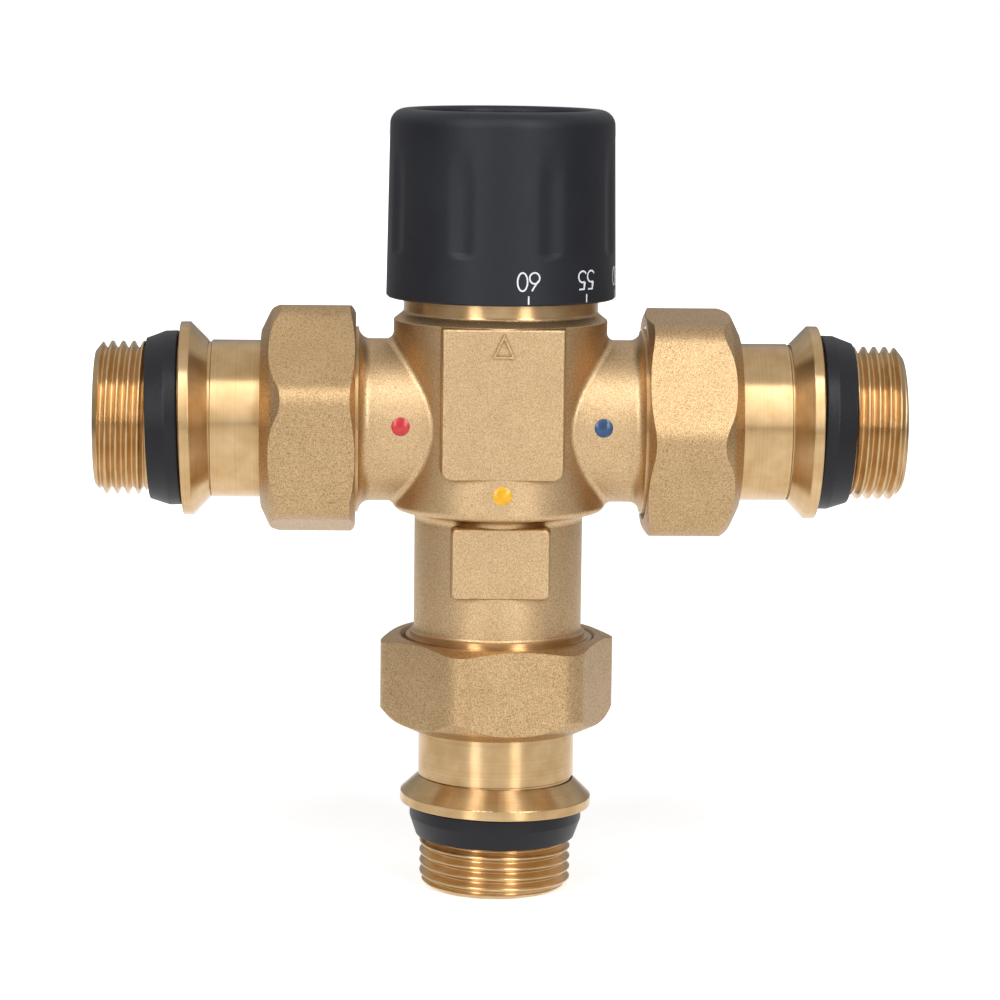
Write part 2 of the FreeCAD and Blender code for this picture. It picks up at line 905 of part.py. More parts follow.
def lift_carrier():
    """The keyed sleeve that the spindle's screw raises and lowers."""
    thread = spindle_thread_radius + spindle_thread_clearance
    groove = carrier_pocket_radius + carrier_ring_groove
    sleeve = turned([
        (carrier_pocket_radius, carrier_foot),
        (carrier_radius, carrier_foot),
        (carrier_radius, carrier_top),
        (thread, carrier_top),
        (thread, carrier_ledge),
        (carrier_pocket_radius, carrier_ledge),
        (carrier_pocket_radius, cup_foot),
        (groove, cup_foot),
        (groove, ring_groove_foot),
        (carrier_pocket_radius, ring_groove_foot),
    ])
    keys = box(key_reach, key_half_width, carrier_foot, carrier_top).cut(
        rod((carrier_radius + carrier_pocket_radius) / 2, carrier_foot, carrier_top))
    return sleeve.fuse(keys).removeSplitter()


def carrier_ring():
    """The open spring ring that holds the cup in the carrier."""
    outer = carrier_pocket_radius + carrier_ring_groove - spline_clearance
    ring = tube(outer, carrier_ring_bore, ring_groove_foot + groove_play, cup_foot - groove_play)
    opening = box(outer, circlip_gap / 2, ring_groove_foot, cup_foot)
    opening.translate(FreeCAD.Vector(outer, 0, 0))
    return ring.cut(opening)


def spring_cup():
    """The cup that the piston pushes on, with a rim that centres the spring."""
    rim_outer = over_spring_radius - over_spring_wire - over_spring_clearance / 2
    return turned([
        (0, cup_foot),
        (cup_radius, cup_foot),
        (cup_radius, cup_top),
        (rim_outer, cup_top),
        (rim_outer, cup_top + cup_rim_height),
        (rim_outer - cup_rim, cup_top + cup_rim_height),
        (rim_outer - cup_rim, cup_top),
        (0, cup_top),
    ])


over_spring_radius = carrier_pocket_radius - over_spring_clearance - over_spring_wire


def over_travel_spring():
    """The stiff spring that gives way when the shutter is already on its seat."""
    return coil(over_spring_radius, over_spring_wire, cup_top + spring_end_gap,
                carrier_ledge - spring_end_gap, over_spring_turns)


# Wax element, with its piston, and the shutter
element_neck_top = carrier_foot - carrier_element_gap
element_flange_top = element_neck_top - element_neck
element_flange_foot = element_flange_top - element_flange
hub_top = element_flange_foot
hub_foot = hub_top - hub_height
bulb_foot = hub_foot - element_bulb


def element_piston():
    """The pin that the melting wax drives out of the element."""
    return turned([
        (0, element_neck_top - piston_grip),
        (piston_radius, element_neck_top - piston_grip),
        (piston_radius, cup_foot),
        (0, cup_foot),
    ])


def wax_element():
    """The sealed brass capsule: a guide for the piston, a flange and a long bulb."""
    bore = piston_radius + piston_clearance
    return turned([
        (0, bulb_foot),
        (element_bulb_radius, bulb_foot, element_bulb_round),
        (element_bulb_radius, hub_foot),
        (element_barrel_radius, hub_foot),
        (element_barrel_radius, element_flange_foot),
        (element_flange_radius, element_flange_foot),
        (element_flange_radius, element_flange_top, element_edge_round),
        (element_neck_radius, element_flange_top),
        (element_neck_radius, element_neck_top, element_edge_round),
        (bore, element_neck_top),
        (bore, element_neck_top - piston_grip - piston_clearance),
        (0, element_neck_top - piston_grip - piston_clearance),
    ])


shutter_top = seat_height - shutter_cold_gap
shutter_foot = shutter_top - shutter_length


def shutter():
    """The sleeve that slides between both seats, on a hub with spokes."""
    groove = shutter_radius - 2 * shutter_o_ring_section
    sleeve = turned([
        (shutter_bore, shutter_foot),
        (shutter_radius, shutter_foot),
        (shutter_radius, shutter_o_ring_height - shutter_o_ring_section),
        (groove, shutter_o_ring_height - shutter_o_ring_section),
        (groove, shutter_o_ring_height + shutter_o_ring_section),
        (shutter_radius, shutter_o_ring_height + shutter_o_ring_section),
        (shutter_radius, shutter_top),
        (shutter_bore, shutter_top),
    ])
    hub = rod(hub_radius, hub_foot, hub_top)
    bore = rod(element_barrel_radius + hub_clearance, hub_foot, hub_top)
    spokes = []
    reach = (shutter_bore + groove) / 2
    for index in range(spoke_count):
        spoke = Part.makeBox(reach, 2 * spoke_half_width, hub_height,
                             FreeCAD.Vector(0, -spoke_half_width, hub_foot))
        spoke.rotate(ORIGIN, UP, 360 * (index + 0.5) / spoke_count)
        spokes.append(spoke)
    return sleeve.fuse([hub] + spokes).cut(bore).removeSplitter()


def shutter_o_ring():
    """The ring that keeps hot and cold apart at the divider."""
    return o_ring(shutter_radius - shutter_o_ring_section, shutter_o_ring_section - o_ring_squeeze,
                  shutter_o_ring_height)


def return_spring():
    """The spring round the bulb that lifts the shutter and the element."""
    return coil(return_spring_radius, return_wire, -spring_ledge_drop + spring_end_gap,
                hub_foot - spring_end_gap, return_turns)


# Knob
knob_top = knob_foot + knob_height
recess_floor = knob_top - knob_recess_depth
knob_hub_top = recess_floor + knob_hub_rise


def knob_radius(height):
    """The knob's drafted outside radius at a height."""
    share = (height - knob_foot) / knob_height
    return knob_foot_radius + share * (knob_top_radius - knob_foot_radius)


def flute():
    """A long shallow hollow with a ball end, along the knob's outside."""
    low = knob_foot + flute_foot
    high = knob_top - flute_head
    low_ball = FreeCAD.Vector(knob_radius(low) - flute_depth + flute_radius, 0, low + flute_radius / 2)
    high_ball = FreeCAD.Vector(knob_radius(high) - flute_depth + flute_radius, 0, high - flute_radius / 2)
    along = high_ball - low_ball
    bar = Part.makeCylinder(flute_radius, along.Length, low_ball, along)
    return bar.fuse([Part.makeSphere(flute_radius, low_ball), Part.makeSphere(flute_radius, high_ball)])


def knob():
    """The moulded knob: a drafted fluted skirt, an open recess and a hub on the spindle."""
    skin = turned([
        (0, knob_foot),
        (knob_foot_radius, knob_foot, knob_foot_round),
        (knob_top_radius, knob_top, knob_edge_round),
        (knob_rim_bore, knob_top, knob_rim_round),
        (knob_rim_bore - knob_recess_draft, recess_floor, knob_recess_round),
        (knob_hub_radius + knob_hub_draft, recess_floor, knob_hub_fillet),
        (knob_hub_radius, knob_hub_top, knob_hub_round),
        (0, knob_hub_top),
    ])
    hollow = turned([
        (0, knob_foot),
        (knob_skirt_bore, knob_foot),
        (knob_skirt_bore, bonnet_hex_foot + knob_skirt_clearance, knob_hollow_round),
        (knob_rim_bore - knob_wall_draft, recess_floor - knob_floor, knob_hollow_round),
        (0, recess_floor - knob_floor),
    ])
    flutes = []
    for index in range(flute_count):
        cut = flute()
        cut.rotate(ORIGIN, UP, flute_turn + 360 * (index + 0.5) / flute_count - 90)
        flutes.append(cut)
    bore = journal_radius + spline_clearance
    socket = rod(bore, knob_foot, spindle_top).fuse(
        rod(screw_radius + screw_thread_clearance, spindle_top, knob_hub_top))
    return skin.cut([hollow, socket] + flutes).removeSplitter()


def knob_screw():
    """The pan-head screw with a cross recess that holds the knob."""
    screw = turned([
        (0, spindle_top - screw_length),
        (screw_radius, spindle_top - screw_length),
        (screw_radius, knob_hub_top),
        (screw_head_radius, knob_hub_top),
        (screw_head_radius, knob_hub_top + screw_head, screw_head_round),
        (0, knob_hub_top + screw_head),
    ])
    top = knob_hub_top + screw_head
    slot = box(screw_recess_half_length, screw_recess_half_width, top - screw_recess_depth, top)
    other = box(screw_recess_half_width, screw_recess_half_length, top - screw_recess_depth, top)
    return screw.cut([slot, other])


os.makedirs("parts", exist_ok=True)

RAISED = {
    "valve_body": valve_body,
    "bonnet": bonnet,
    "bonnet_o_ring": bonnet_o_ring,
    "spindle": spindle,
    "spindle_o_rings": spindle_o_rings,
    "spindle_circlip": spindle_circlip,
    "lift_carrier": lift_carrier,
    "carrier_ring": carrier_ring,
    "spring_cup": spring_cup,
    "over_travel_spring": over_travel_spring,
    "element_piston": element_piston,
    "wax_element": wax_element,
    "shutter": shutter,
    "shutter_o_ring": shutter_o_ring,
    "return_spring": return_spring,
    "knob": knob,
    "knob_screw": knob_screw,
}
NUT_TURNS = {"hot": hot_nut_turn, "cold": cold_nut_turn, "mixed": mixed_nut_turn}
RING_LEANS = {"hot": hot_ring_lean, "cold": cold_ring_lean, "mixed": mixed_ring_lean}
SEAL_LEANS = {"hot": hot_seal_lean, "cold": cold_seal_lean, "mixed": mixed_seal_lean}
CHECK_VALVE = {
    "check_housing": check_housing,
    "check_retainer": check_retainer,
    "check_poppet": check_poppet,
    "check_spring": check_spring,
    "check_o_ring": check_ring,
}

pieces = {name: lifted(make()) for name, make in RAISED.items()}
for name in MARKS:
    pieces[name] = lifted(at_mark(name, enamel_drop()))
for port, (outward, start) in PORTS.items():
    solids = {
        "union_nut": union_nut(NUT_TURNS[port]),
        "union_gasket": union_gasket(),
        "tailpiece": tailpiece(),
        "backing_ring": backing_ring(RING_LEANS[port]),
        "tapered_seal": tapered_seal(SEAL_LEANS[port]),
    }
    if port != "mixed":
        solids.update({name: make() for name, make in CHECK_VALVE.items()})
    for name, solid in solids.items():
        pieces[port + "_" + name] = placed(solid, outward, start)

for name, solid in pieces.items():
    solid.exportStep("parts/" + name + ".step")
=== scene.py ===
import math

import bmesh
import bpy
from mathutils import Matrix, Vector


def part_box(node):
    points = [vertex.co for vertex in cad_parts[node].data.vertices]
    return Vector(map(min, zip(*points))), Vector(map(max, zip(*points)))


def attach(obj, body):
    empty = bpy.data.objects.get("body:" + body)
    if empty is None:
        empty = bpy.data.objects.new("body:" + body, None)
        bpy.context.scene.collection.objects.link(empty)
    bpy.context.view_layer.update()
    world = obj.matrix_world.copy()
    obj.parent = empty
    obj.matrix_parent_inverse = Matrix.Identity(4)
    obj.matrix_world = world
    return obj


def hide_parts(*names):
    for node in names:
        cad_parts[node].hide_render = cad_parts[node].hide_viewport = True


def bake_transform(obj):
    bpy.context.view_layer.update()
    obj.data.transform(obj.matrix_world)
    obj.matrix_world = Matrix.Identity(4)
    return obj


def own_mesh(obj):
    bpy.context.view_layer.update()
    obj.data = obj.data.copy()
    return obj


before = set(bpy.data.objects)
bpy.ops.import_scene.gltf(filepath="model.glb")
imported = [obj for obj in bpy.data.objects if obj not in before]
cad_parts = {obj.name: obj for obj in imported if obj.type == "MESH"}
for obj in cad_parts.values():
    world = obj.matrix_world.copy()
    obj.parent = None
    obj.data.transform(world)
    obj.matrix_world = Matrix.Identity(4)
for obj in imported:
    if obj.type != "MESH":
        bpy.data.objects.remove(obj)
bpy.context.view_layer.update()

bl_info = {
    "name": "Mixing valve looks",
    "version": (1, 0, 0),
    "blender": (4, 5, 0),
    "location": "View3D > Sidebar > Valve",
    "description": "Dresses the packed three-way mixing valve: threads, dial print, finishes and studio",
    "category": "Object",
}

MM = 0.001
UP = Vector((0, 0, 1))
FRONT = Vector((0, -1, 0))
OUTWARD = {"hot": Vector((-1, 0, 0)), "cold": Vector((1, 0, 0)), "mixed": Vector((0, 0, -1))}
INLETS = ("hot", "cold")


def linear(code):
    """An sRGB hex colour as linear red, green and blue."""
    parts = [int(code[place:place + 2], 16) / 255 for place in (1, 3, 5)]
    return tuple(part / 12.92 if part <= 0.04045 else ((part + 0.055) / 1.055) ** 2.4 for part in parts)


# Sizes, colours and studio values that a user can change

def length(name, description, millimetres):
    """A length property in metres, from a default in millimetres."""
    return bpy.props.FloatProperty(
        name=name, description=description, default=millimetres * MM, min=0, precision=5,
        subtype="DISTANCE", unit="LENGTH")


def angle(name, description, degrees):
    """An angle property, from a default in degrees."""
    return bpy.props.FloatProperty(
        name=name, description=description, default=math.radians(degrees),
        subtype="ANGLE", unit="ROTATION")


def number(name, description, value, **more):
    """A property that is a plain number, never less than zero."""
    return bpy.props.FloatProperty(name=name, description=description, default=value, min=0, **more)


def colour(name, description, code):
    """A colour property, from an sRGB hex default."""
    return bpy.props.FloatVectorProperty(
        name=name, description=description, default=linear(code), size=3, min=0, max=1, subtype="COLOR")


class ValveBody(bpy.types.PropertyGroup):
    """Where the forged body has been on the lathe."""

    spigots_from: length("Turned spigots", "Distance from the valve's axis where they start", 24.33)
    neck_from: length("Turned neck", "Height where the turned neck starts", 100.9)
    lip_below: length("Turned lip", "Height of the turned lip's upper end", 45.4)


class ValveThreads(bpy.types.PropertyGroup):
    """Sizes of the turned tails and of both pipe threads."""

    tail_pitch: length("Tail pitch", "Pitch of the three-quarter-inch pipe thread", 1.814)
    tail_crest: length("Tail crest radius", "Crest radius of the tail's thread", 13.22)
    tail_stretch: length("Tail thread length", "Length of the thread along the tail", 7.35)
    tail_chamfer: length("End chamfer", "Length of the chamfer at the tail's end", 1.3)
    tail_end: length("End radius", "Radius of the tail's end face", 11.6)
    tail_relief: length("Relief width", "Width of the groove behind the thread", 0.9)
    tail_relief_radius: length("Relief radius", "Radius of the groove behind the thread", 12.3)
    tail_relief_slope: length("Relief slope", "Length of the slope from the thread into its groove", 0.2)
    tail_land: length("Land radius", "Radius under the loose rings", 13.2)
    tail_land_stretch: length("Land length", "Length of the land under the loose rings", 10.3)
    tail_barrel: length("Barrel radius", "Radius of the plain barrel", 13.55)
    tail_flange: length("Flange radius", "Radius of the flange inside the nut", 14.9)
    tail_flange_width: length("Flange width", "Width of the flange inside the nut", 2.2)
    tail_bore: length("Bore radius", "Radius of the tail's bore", 9.25)
    tail_pocket: length("Pocket radius", "Radius of the pocket at the inner end", 11.2)
    tail_pocket_depth: length("Pocket depth", "Depth of the pocket from the inner end", 17.0)
    tail_edge: length("Tail edges", "Chamfer on the tail's small edges", 0.15)
    lug_width: length("Lug width", "Width of each driving lug in the bore", 2.6)
    lug_height: length("Lug height", "How far each lug stands into the bore", 1.5)
    lug_stretch: length("Lug length", "Length of each lug", 6.0)
    lug_setback: length("Lug setback", "Distance from the end face to each lug", 2.6)
    lug_root: length("Lug root", "How far each lug reaches into the tail's wall", 0.8)
    union_pitch: length("Union pitch", "Pitch of the one-inch pipe thread", 2.309)
    union_crest: length("Union crest radius", "Crest radius of the thread on each spigot", 16.55)
    union_root: length("Union root radius", "Root radius that shows on each spigot", 15.93)
    union_stretch: length("Union thread length", "Length of the thread on each spigot", 8.9)
    union_skin: length("Union thread inside", "How far the thread's skin reaches below its roots", 0.3)
    union_setback: length("Union thread setback", "Gap between the thread's skin and the spigot's end", 0.02)
    lead_in: length("Lead-in", "Gap from an end face to the first turn of its thread", 0.05)
    flank: angle("Flank angle", "Half of the angle between a thread's flanks", 27.5)
    hot_start: length("Hot thread start", "How far inward the hot tail's first crest lies", 0.50)
    cold_start: length("Cold thread start", "How far inward the cold tail's first crest lies", 1.50)
    mixed_start: length("Mixed thread start", "How far inward the mixed tail's first crest lies", 0.16)


class ValveKnob(bpy.types.PropertyGroup):
    """Sizes of the moulded knob."""

    top_radius: length("Top radius", "Outside radius at the top, before the edge is rounded", 19.2)
    edge_round: length("Edge rounding", "Radius of the outer top edge", 2.6)
    rim_bore: length("Recess radius", "Radius of the open recess at the top", 15.2)
    rim_round: length("Rim rounding", "Radius of the inner top edge", 1.0)
    recess_depth: length("Recess depth", "Depth of the open recess", 15.0)
    hub: length("Hub radius", "Radius of the hub in the recess", 6.4)
    hub_rise: length("Hub height", "Height of the hub over the recess floor", 7.4)
    wall: length("Floor thickness", "Thickness of the recess floor", 2.4)
    skirt_bore: length("Skirt bore", "Radius inside the skirt", 17.7)
    skirt_depth: length("Skirt depth", "Depth of the wide bore inside the skirt", 6.8)
    socket: length("Socket radius", "Radius of the socket on the spindle", 4.05)
    screw_hole: length("Screw hole", "Radius of the hole for the screw", 2.0)
    screw_seat: length("Screw seat", "Thickness of plastic under the screw's head", 0.54)
    recess_draft: length("Recess draft", "How much narrower the recess is at its floor", 0.4)
    recess_round: length("Recess rounding", "Radius at the foot of the recess's wall", 0.8)
    hub_draft: length("Hub draft", "How much wider the hub is at its foot", 0.2)
    hub_foot_round: length("Hub foot rounding", "Radius at the hub's foot", 0.6)
    hub_edge_round: length("Hub edge rounding", "Radius of the hub's top edge", 0.4)
    underside_draft: length("Underside draft", "How much narrower the space under the floor is", 0.6)
    foot_edge: length("Foot edge", "Chamfer round the knob's foot", 0.3)
    flute_depth: length("Flute depth", "Depth of each finger flute", 0.33)
    flute_half: length("Half flute", "Half of a flute's width, out to where it fades", 2.95)
    flute_foot: length("Flute foot", "Height of a flute's lower end over the knob's foot", 7.6)
    flute_bow: length("Flute bow", "How far a flute's lower end bows downward", 0.55)
    flute_ledge: length("Flute ledge", "Height of the sloping ledge at a flute's lower end", 1.1)
    flute_fade: length("Flute fade", "Height over the foot where a flute starts to fade", 19.0)
    flute_head: length("Flute head", "Height over the foot where a flute has faded out", 28.0)
    flute_turn: angle("Flute turn", "Turn of the first flute from the front", 23.4)
    flutes: bpy.props.IntProperty(
        name="Flutes", description="Number of flutes round the knob", default=8, min=1)


class ValveDial(bpy.types.PropertyGroup):
    """Sizes of the print on the knob."""

    digit_height: length("Digit height", "Height of the numbers", 3.05)
    digit_width: length("Digit width", "Width of one digit", 1.70)
    digit_gap: length("Digit gap", "Gap between two digits", 0.42)
    stroke: length("Stroke", "Width of a printed line", 0.27)
    digit_foot: length("Digit height above the rim", "Gap from the knob's foot to the numbers", 2.6)
    tick_foot: length("Tick foot", "Gap from the knob's foot to each tick", 0.35)
    tick_head: length("Tick head", "Height of each tick's upper end over the knob's foot", 1.75)
    ink: length("Ink thickness", "How far the print stands out of the knob", 0.02)
    first_turn: angle("Place of the first number", "Turn of the highest number from the front", 11.6)
    step: angle("Step", "Turn from one number to the next", 33.4)


class ValveColours(bpy.types.PropertyGroup):
    """Colours of the finishes."""

    body: colour("Body brass", "Shot-blasted forged body", "#E4C69B")
    body_deep: colour("Body brass, deep", "Pits and hollows of the blasted body", "#B08C62")
    nut: colour("Nut brass", "Shot-blasted union nut", "#D8B88D")
    nut_deep: colour("Nut brass, deep", "Pits and hollows of the nut", "#9A7A50")
    turned: colour("Turned brass", "Fresh turned brass", "#E0BF92")
    # Brown for the real pits, and for the painted shade in crevices and round raised pads
    crevice: colour("Brass in crevices", "Where shot and light hardly reach", "#94703F")
    turned_deep: colour("Turned brass, deep", "Lines left by the tool", "#BC9763")
    abs_black: colour("Black ABS", "Moulded knob", "#11131D")
    rubber: colour("Black rubber", "Moulded seal", "#121219")
    print_white: colour("White print", "Ink of the dial", "#DCE0E6")
    red: colour("Red enamel", "Mark of the hot inlet", "#C43335")
    blue: colour("Blue enamel", "Mark of the cold inlet", "#2B4C74")
    yellow: colour("Yellow enamel", "Mark of the mixed outlet", "#EDAE16")
    steel: colour("Steel", "Springs and small steel parts", "#C9CACB")
    acetal: colour("White acetal", "Check valve housings", "#E9E8E2")
    grey_acetal: colour("Grey acetal", "Shutter and poppets", "#77797C")
    fibre: colour("Fibre", "Union gaskets", "#2F6E5A")
    floor: colour("Floor", "Floor and backdrop", "#F4F4F4")


class ValveStudio(bpy.types.PropertyGroup):
    """Camera, lamps and floor."""

    lens: number("Lens", "Focal length on a 36 mm wide sensor", 132.4, unit="CAMERA")
    distance: length("Camera distance", "From the lens to the point it looks at", 637.5)
    camera_turn: angle("Camera turn", "Turn of the camera from the front, toward the cold inlet", -2.01)
    camera_rise: angle("Camera rise", "How far the camera looks down", 8.16)
    camera_roll: angle("Camera roll", "Roll of the picture, clockwise", 0.67)
    look_across: length("Look across", "How far right of the valve's axis the camera looks", 0.253)
    look_height: length("Look height", "Height that the camera looks at", 68.04)
    lamp_power: number("Softbox power", "Power of each front softbox", 6.4, unit="POWER")
    lamp_turn: angle("Softbox turn", "Turn of each softbox from the camera", 30)
    lamp_rise: angle("Softbox rise", "Height of each softbox's middle", 30)
    lamp_distance: length("Softbox distance", "From the valve to each softbox", 1100)
    lamp_width: length("Softbox width", "Width of each softbox", 260)
    lamp_height: length("Softbox height", "Height of each softbox", 1250)
    room_light: number("Room light", "Strength of the room on matt surfaces", 0.5)
    room_mirrored: number("Walls in reflections", "Strength of the room's walls in reflections", 0.32)
    room_overhead: number("Ceiling in reflections", "Strength of the room's ceiling in reflections", 0.70)
    wall_top: number("Top of the walls", "Sine of the angle above the horizon where the walls end", 0.15)
    ceiling_edge: number("Edge of the ceiling", "Sine of the angle above the horizon where it starts", 0.75)
    floor_width: length("Floor width", "Width of the floor", 6000)
    floor_near: length("Near floor", "Distance from the valve that the near floor reaches", 200)
    floor_far: length("Far floor", "Distance from the valve where the far floor starts", 700)
    floor_glow: number("Floor glow", "Light that the camera sees the near floor give off", 0.45)
    floor_far_glow: number("Far floor glow", "Light that the camera sees the far floor give off", 1.0)
    floor_middle: length("Middle floor", "Distance to the sides that the middle of the floor reaches", 80)
    floor_side: length("Side floor", "Distance to the sides where the side of the floor starts", 550)
    floor_mirrored: number("Middle in reflections", "Strength of the floor's middle in reflections", 1.15)
    floor_aside: number("Sides in reflections", "Strength of the floor's sides in reflections", 0.22)


class ValveLooks(bpy.types.PropertyGroup):
    """Everything a user can change."""

    body: bpy.props.PointerProperty(type=ValveBody, name="Body", description="Turned parts of the body")
    threads: bpy.props.PointerProperty(
        type=ValveThreads, name="Threads", description="Turned tails and threads")
    knob: bpy.props.PointerProperty(type=ValveKnob, name="Knob", description="Moulded knob")
    dial: bpy.props.PointerProperty(type=ValveDial, name="Dial", description="Print on the knob")
    colours: bpy.props.PointerProperty(
        type=ValveColours, name="Colours", description="Colours of the finishes")
    studio: bpy.props.PointerProperty(type=ValveStudio, name="Studio", description="Camera, lamps and floor")


def looks():
    """The property groups on the scene."""
    return bpy.context.scene.valve_looks


def port_height():
    """Height of the inlets' axis."""
    low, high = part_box("hot_union_nut")
    return (low.z + high.z) / 2


# Nodes and finishes

def add_node(tree, kind, settings=None, inputs=None):
    """Adds a node with its settings, links the inputs that are sockets and sets the others."""
    node = tree.nodes.new(kind)
    for name, value in (settings or {}).items():
        setattr(node, name, value)
    for name, value in (inputs or {}).items():
        if isinstance(value, bpy.types.NodeSocket):
            tree.links.new(value, node.inputs[name])
        else:
            node.inputs[name].default_value = value
    return node


def new_finish(name, values):
    """A material with a Principled shader, and steady values set on the shader's own sockets."""
    finish = bpy.data.materials.new(name)
    finish.use_nodes = True
    shader = finish.node_tree.nodes["Principled BSDF"]
    for socket, value in values.items():
        shader.inputs[socket].default_value = value
    return finish, finish.node_tree, shader


def opaque(rgb, strength=1.0):
    """A colour with full alpha, made darker by a strength under one."""
    return (*(strength * part for part in rgb), 1.0)


def grains(size):
    """A noise scale that gives grains of a size in millimetres."""
    return 1 / (size * MM)


def blasted(tree, shader, light, deep, grit, relief, roughness, pitting):
    """Forged brass, shot-blasted: a sandy grain that catches light in specks, darker pits, and painted shade
    in its crevices.
    """
    where = add_node(tree, "ShaderNodeTexCoord").outputs["Object"]
    # Grains about half as wide again as real shot marks, so that they show in the picture
    fine = add_node(tree, "ShaderNodeTexNoise", None, {
        "Vector": where, "Scale": grains(grit), "Detail": 3.0, "Roughness": 0.62}).outputs["Fac"]
    # Shallow waves from the forging die, a few millimetres across
    broad = add_node(tree, "ShaderNodeTexNoise", None, {
        "Vector": where, "Scale": grains(5.0), "Detail": 2.0, "Roughness": 0.5}).outputs["Fac"]
    speck = add_node(tree, "ShaderNodeMapRange", None, {
        "Value": fine, "From Min": 0.36, "From Max": 0.62}).outputs["Result"]
    tone = add_node(tree, "ShaderNodeMath", {"operation": "MULTIPLY_ADD"}, {
        0: broad, 1: 0.35, 2: speck}).outputs[0]
    lightness = add_node(tree, "ShaderNodeMapRange", None, {"Value": tone, "From Max": 1.2}).outputs["Result"]
    sandy = add_node(tree, "ShaderNodeMix", {"data_type": "RGBA"}, {
        0: lightness, 6: opaque(deep), 7: opaque(light)}).outputs[2]
    # Painted shade: the colour turns a muted brown in the roots of steps and round raised pads, where the
    # ambient occlusion finds surfaces close by
    reach = add_node(tree, "ShaderNodeAmbientOcclusion", {"samples": 16}, {
        "Distance": 1.1 * MM}).outputs["AO"]
    crevice_shade = add_node(tree, "ShaderNodeMapRange", None, {
        "Value": reach, "From Min": 0.4, "From Max": 0.93, "To Min": 0.9, "To Max": 0.0}).outputs["Result"]
    # Scattered pits, about one to a square millimetre
    off_pit = add_node(tree, "ShaderNodeTexVoronoi", None, {
        "Vector": where, "Scale": grains(0.8)}).outputs["Distance"]
    pit = add_node(tree, "ShaderNodeMapRange", None, {
        "Value": off_pit, "From Min": 0.12, "From Max": 0.24, "To Min": pitting, "To Max": 0.0})
    pits_and_painted_shade = add_node(tree, "ShaderNodeMath", {"operation": "MAXIMUM"}, {
        0: crevice_shade, 1: pit.outputs["Result"]}).outputs[0]
    # The brown marks the real pits and carries the painted crevice shade
    base = add_node(tree, "ShaderNodeMix", {"data_type": "RGBA"}, {
        0: pits_and_painted_shade, 6: sandy, 7: opaque(looks().colours.crevice)}).outputs[2]
    tree.links.new(base, shader.inputs["Base Color"])
    # The crests of the grain are polished a little by handling, and its hollows stay matt
    matt = add_node(tree, "ShaderNodeMapRange", None, {
        "Value": fine, "From Min": 0.3, "From Max": 0.7,
        "To Min": roughness + 0.08, "To Max": roughness - 0.08}).outputs["Result"]
    tree.links.new(matt, shader.inputs["Roughness"])
    bump = add_node(tree, "ShaderNodeBump", None, {"Strength": 1.0, "Distance": relief * MM, "Height": fine})
    tree.links.new(bump.outputs["Normal"], shader.inputs["Normal"])


def lathe(tree, axis, where):
    """A point's place along a turning axis, its distance from it, and the way the tool passed."""
    centre = (0, 0, port_height()) if axis == "X" else (0, 0, 0)
    keep = [0 if letter == axis else 1 for letter in "XYZ"]
    off_axis = add_node(tree, "ShaderNodeVectorMath", {"operation": "SUBTRACT"}, {
        0: where, 1: centre}).outputs[0]
    along = add_node(tree, "ShaderNodeSeparateXYZ", None, {"Vector": off_axis}).outputs[axis]
    flat = add_node(tree, "ShaderNodeVectorMath", {"operation": "MULTIPLY"}, {
        0: off_axis, 1: keep}).outputs[0]
    out = add_node(tree, "ShaderNodeVectorMath", {"operation": "LENGTH"}, {0: flat}).outputs["Value"]
    way = add_node(tree, "ShaderNodeVectorMath", {"operation": "CROSS_PRODUCT"}, {
        0: [1 - part for part in keep], 1: flat}).outputs[0]
    return along, out, way


def turned(tree, shader, places):
    """Brass turned on a lathe: fine rings left by the tool, and faint stains."""
    colours = looks().colours
    where = add_node(tree, "ShaderNodeTexCoord").outputs["Object"]
    along, out, way = places
    spot = add_node(tree, "ShaderNodeCombineXYZ", None, {"X": along, "Y": out}).outputs["Vector"]
    # Rings a fifth of a millimetre apart, as a finishing cut leaves them
    lines = add_node(tree, "ShaderNodeTexNoise", None, {
        "Vector": spot, "Scale": grains(0.2), "Detail": 4.0, "Roughness": 0.7}).outputs["Fac"]
    # Faint stains from handling and coolant
    cloud = add_node(tree, "ShaderNodeTexNoise", None, {
        "Vector": where, "Scale": grains(4.0), "Detail": 3.0}).outputs["Fac"]
    stain = add_node(tree, "ShaderNodeMapRange", None, {
        "Value": cloud, "From Min": 0.3, "From Max": 0.7, "To Min": -0.1, "To Max": 0.3}).outputs["Result"]
    mark = add_node(tree, "ShaderNodeMath", {"operation": "MULTIPLY_ADD"}, {
        0: lines, 1: 0.75, 2: stain}).outputs[0]
    lightness = add_node(tree, "ShaderNodeMapRange", None, {
        "Value": mark, "From Min": 0.1, "From Max": 0.8}).outputs["Result"]
    base = add_node(tree, "ShaderNodeMix", {"data_type": "RGBA"}, {
        0: lightness, 6: opaque(colours.turned_deep), 7: opaque(colours.turned)}).outputs[2]
    tree.links.new(base, shader.inputs["Base Color"])
    bump = add_node(tree, "ShaderNodeBump", None, {"Strength": 0.6, "Distance": 0.006 * MM, "Height": lines})
    tree.links.new(bump.outputs["Normal"], shader.inputs["Normal"])
    turning = add_node(tree, "ShaderNodeVectorTransform", {
        "vector_type": "VECTOR", "convert_from": "OBJECT", "convert_to": "WORLD"}, {"Vector": way})
    tree.links.new(turning.outputs["Vector"], shader.inputs["Tangent"])


# Rings of tool marks throw the light across them, so a turned surface is rough one way and sharp the other
TURNED = {"Metallic": 1.0, "Roughness": 0.29, "Anisotropic": 0.9, "Anisotropic Rotation": 0.25}


def turned_brass(name, axis):
    """Brass turned on a lathe about one axis: bright, with highlights drawn out along the axis."""
    finish, tree, shader = new_finish(name, TURNED)
    where = add_node(tree, "ShaderNodeTexCoord").outputs["Object"]
    turned(tree, shader, lathe(tree, axis, where))
    return finish


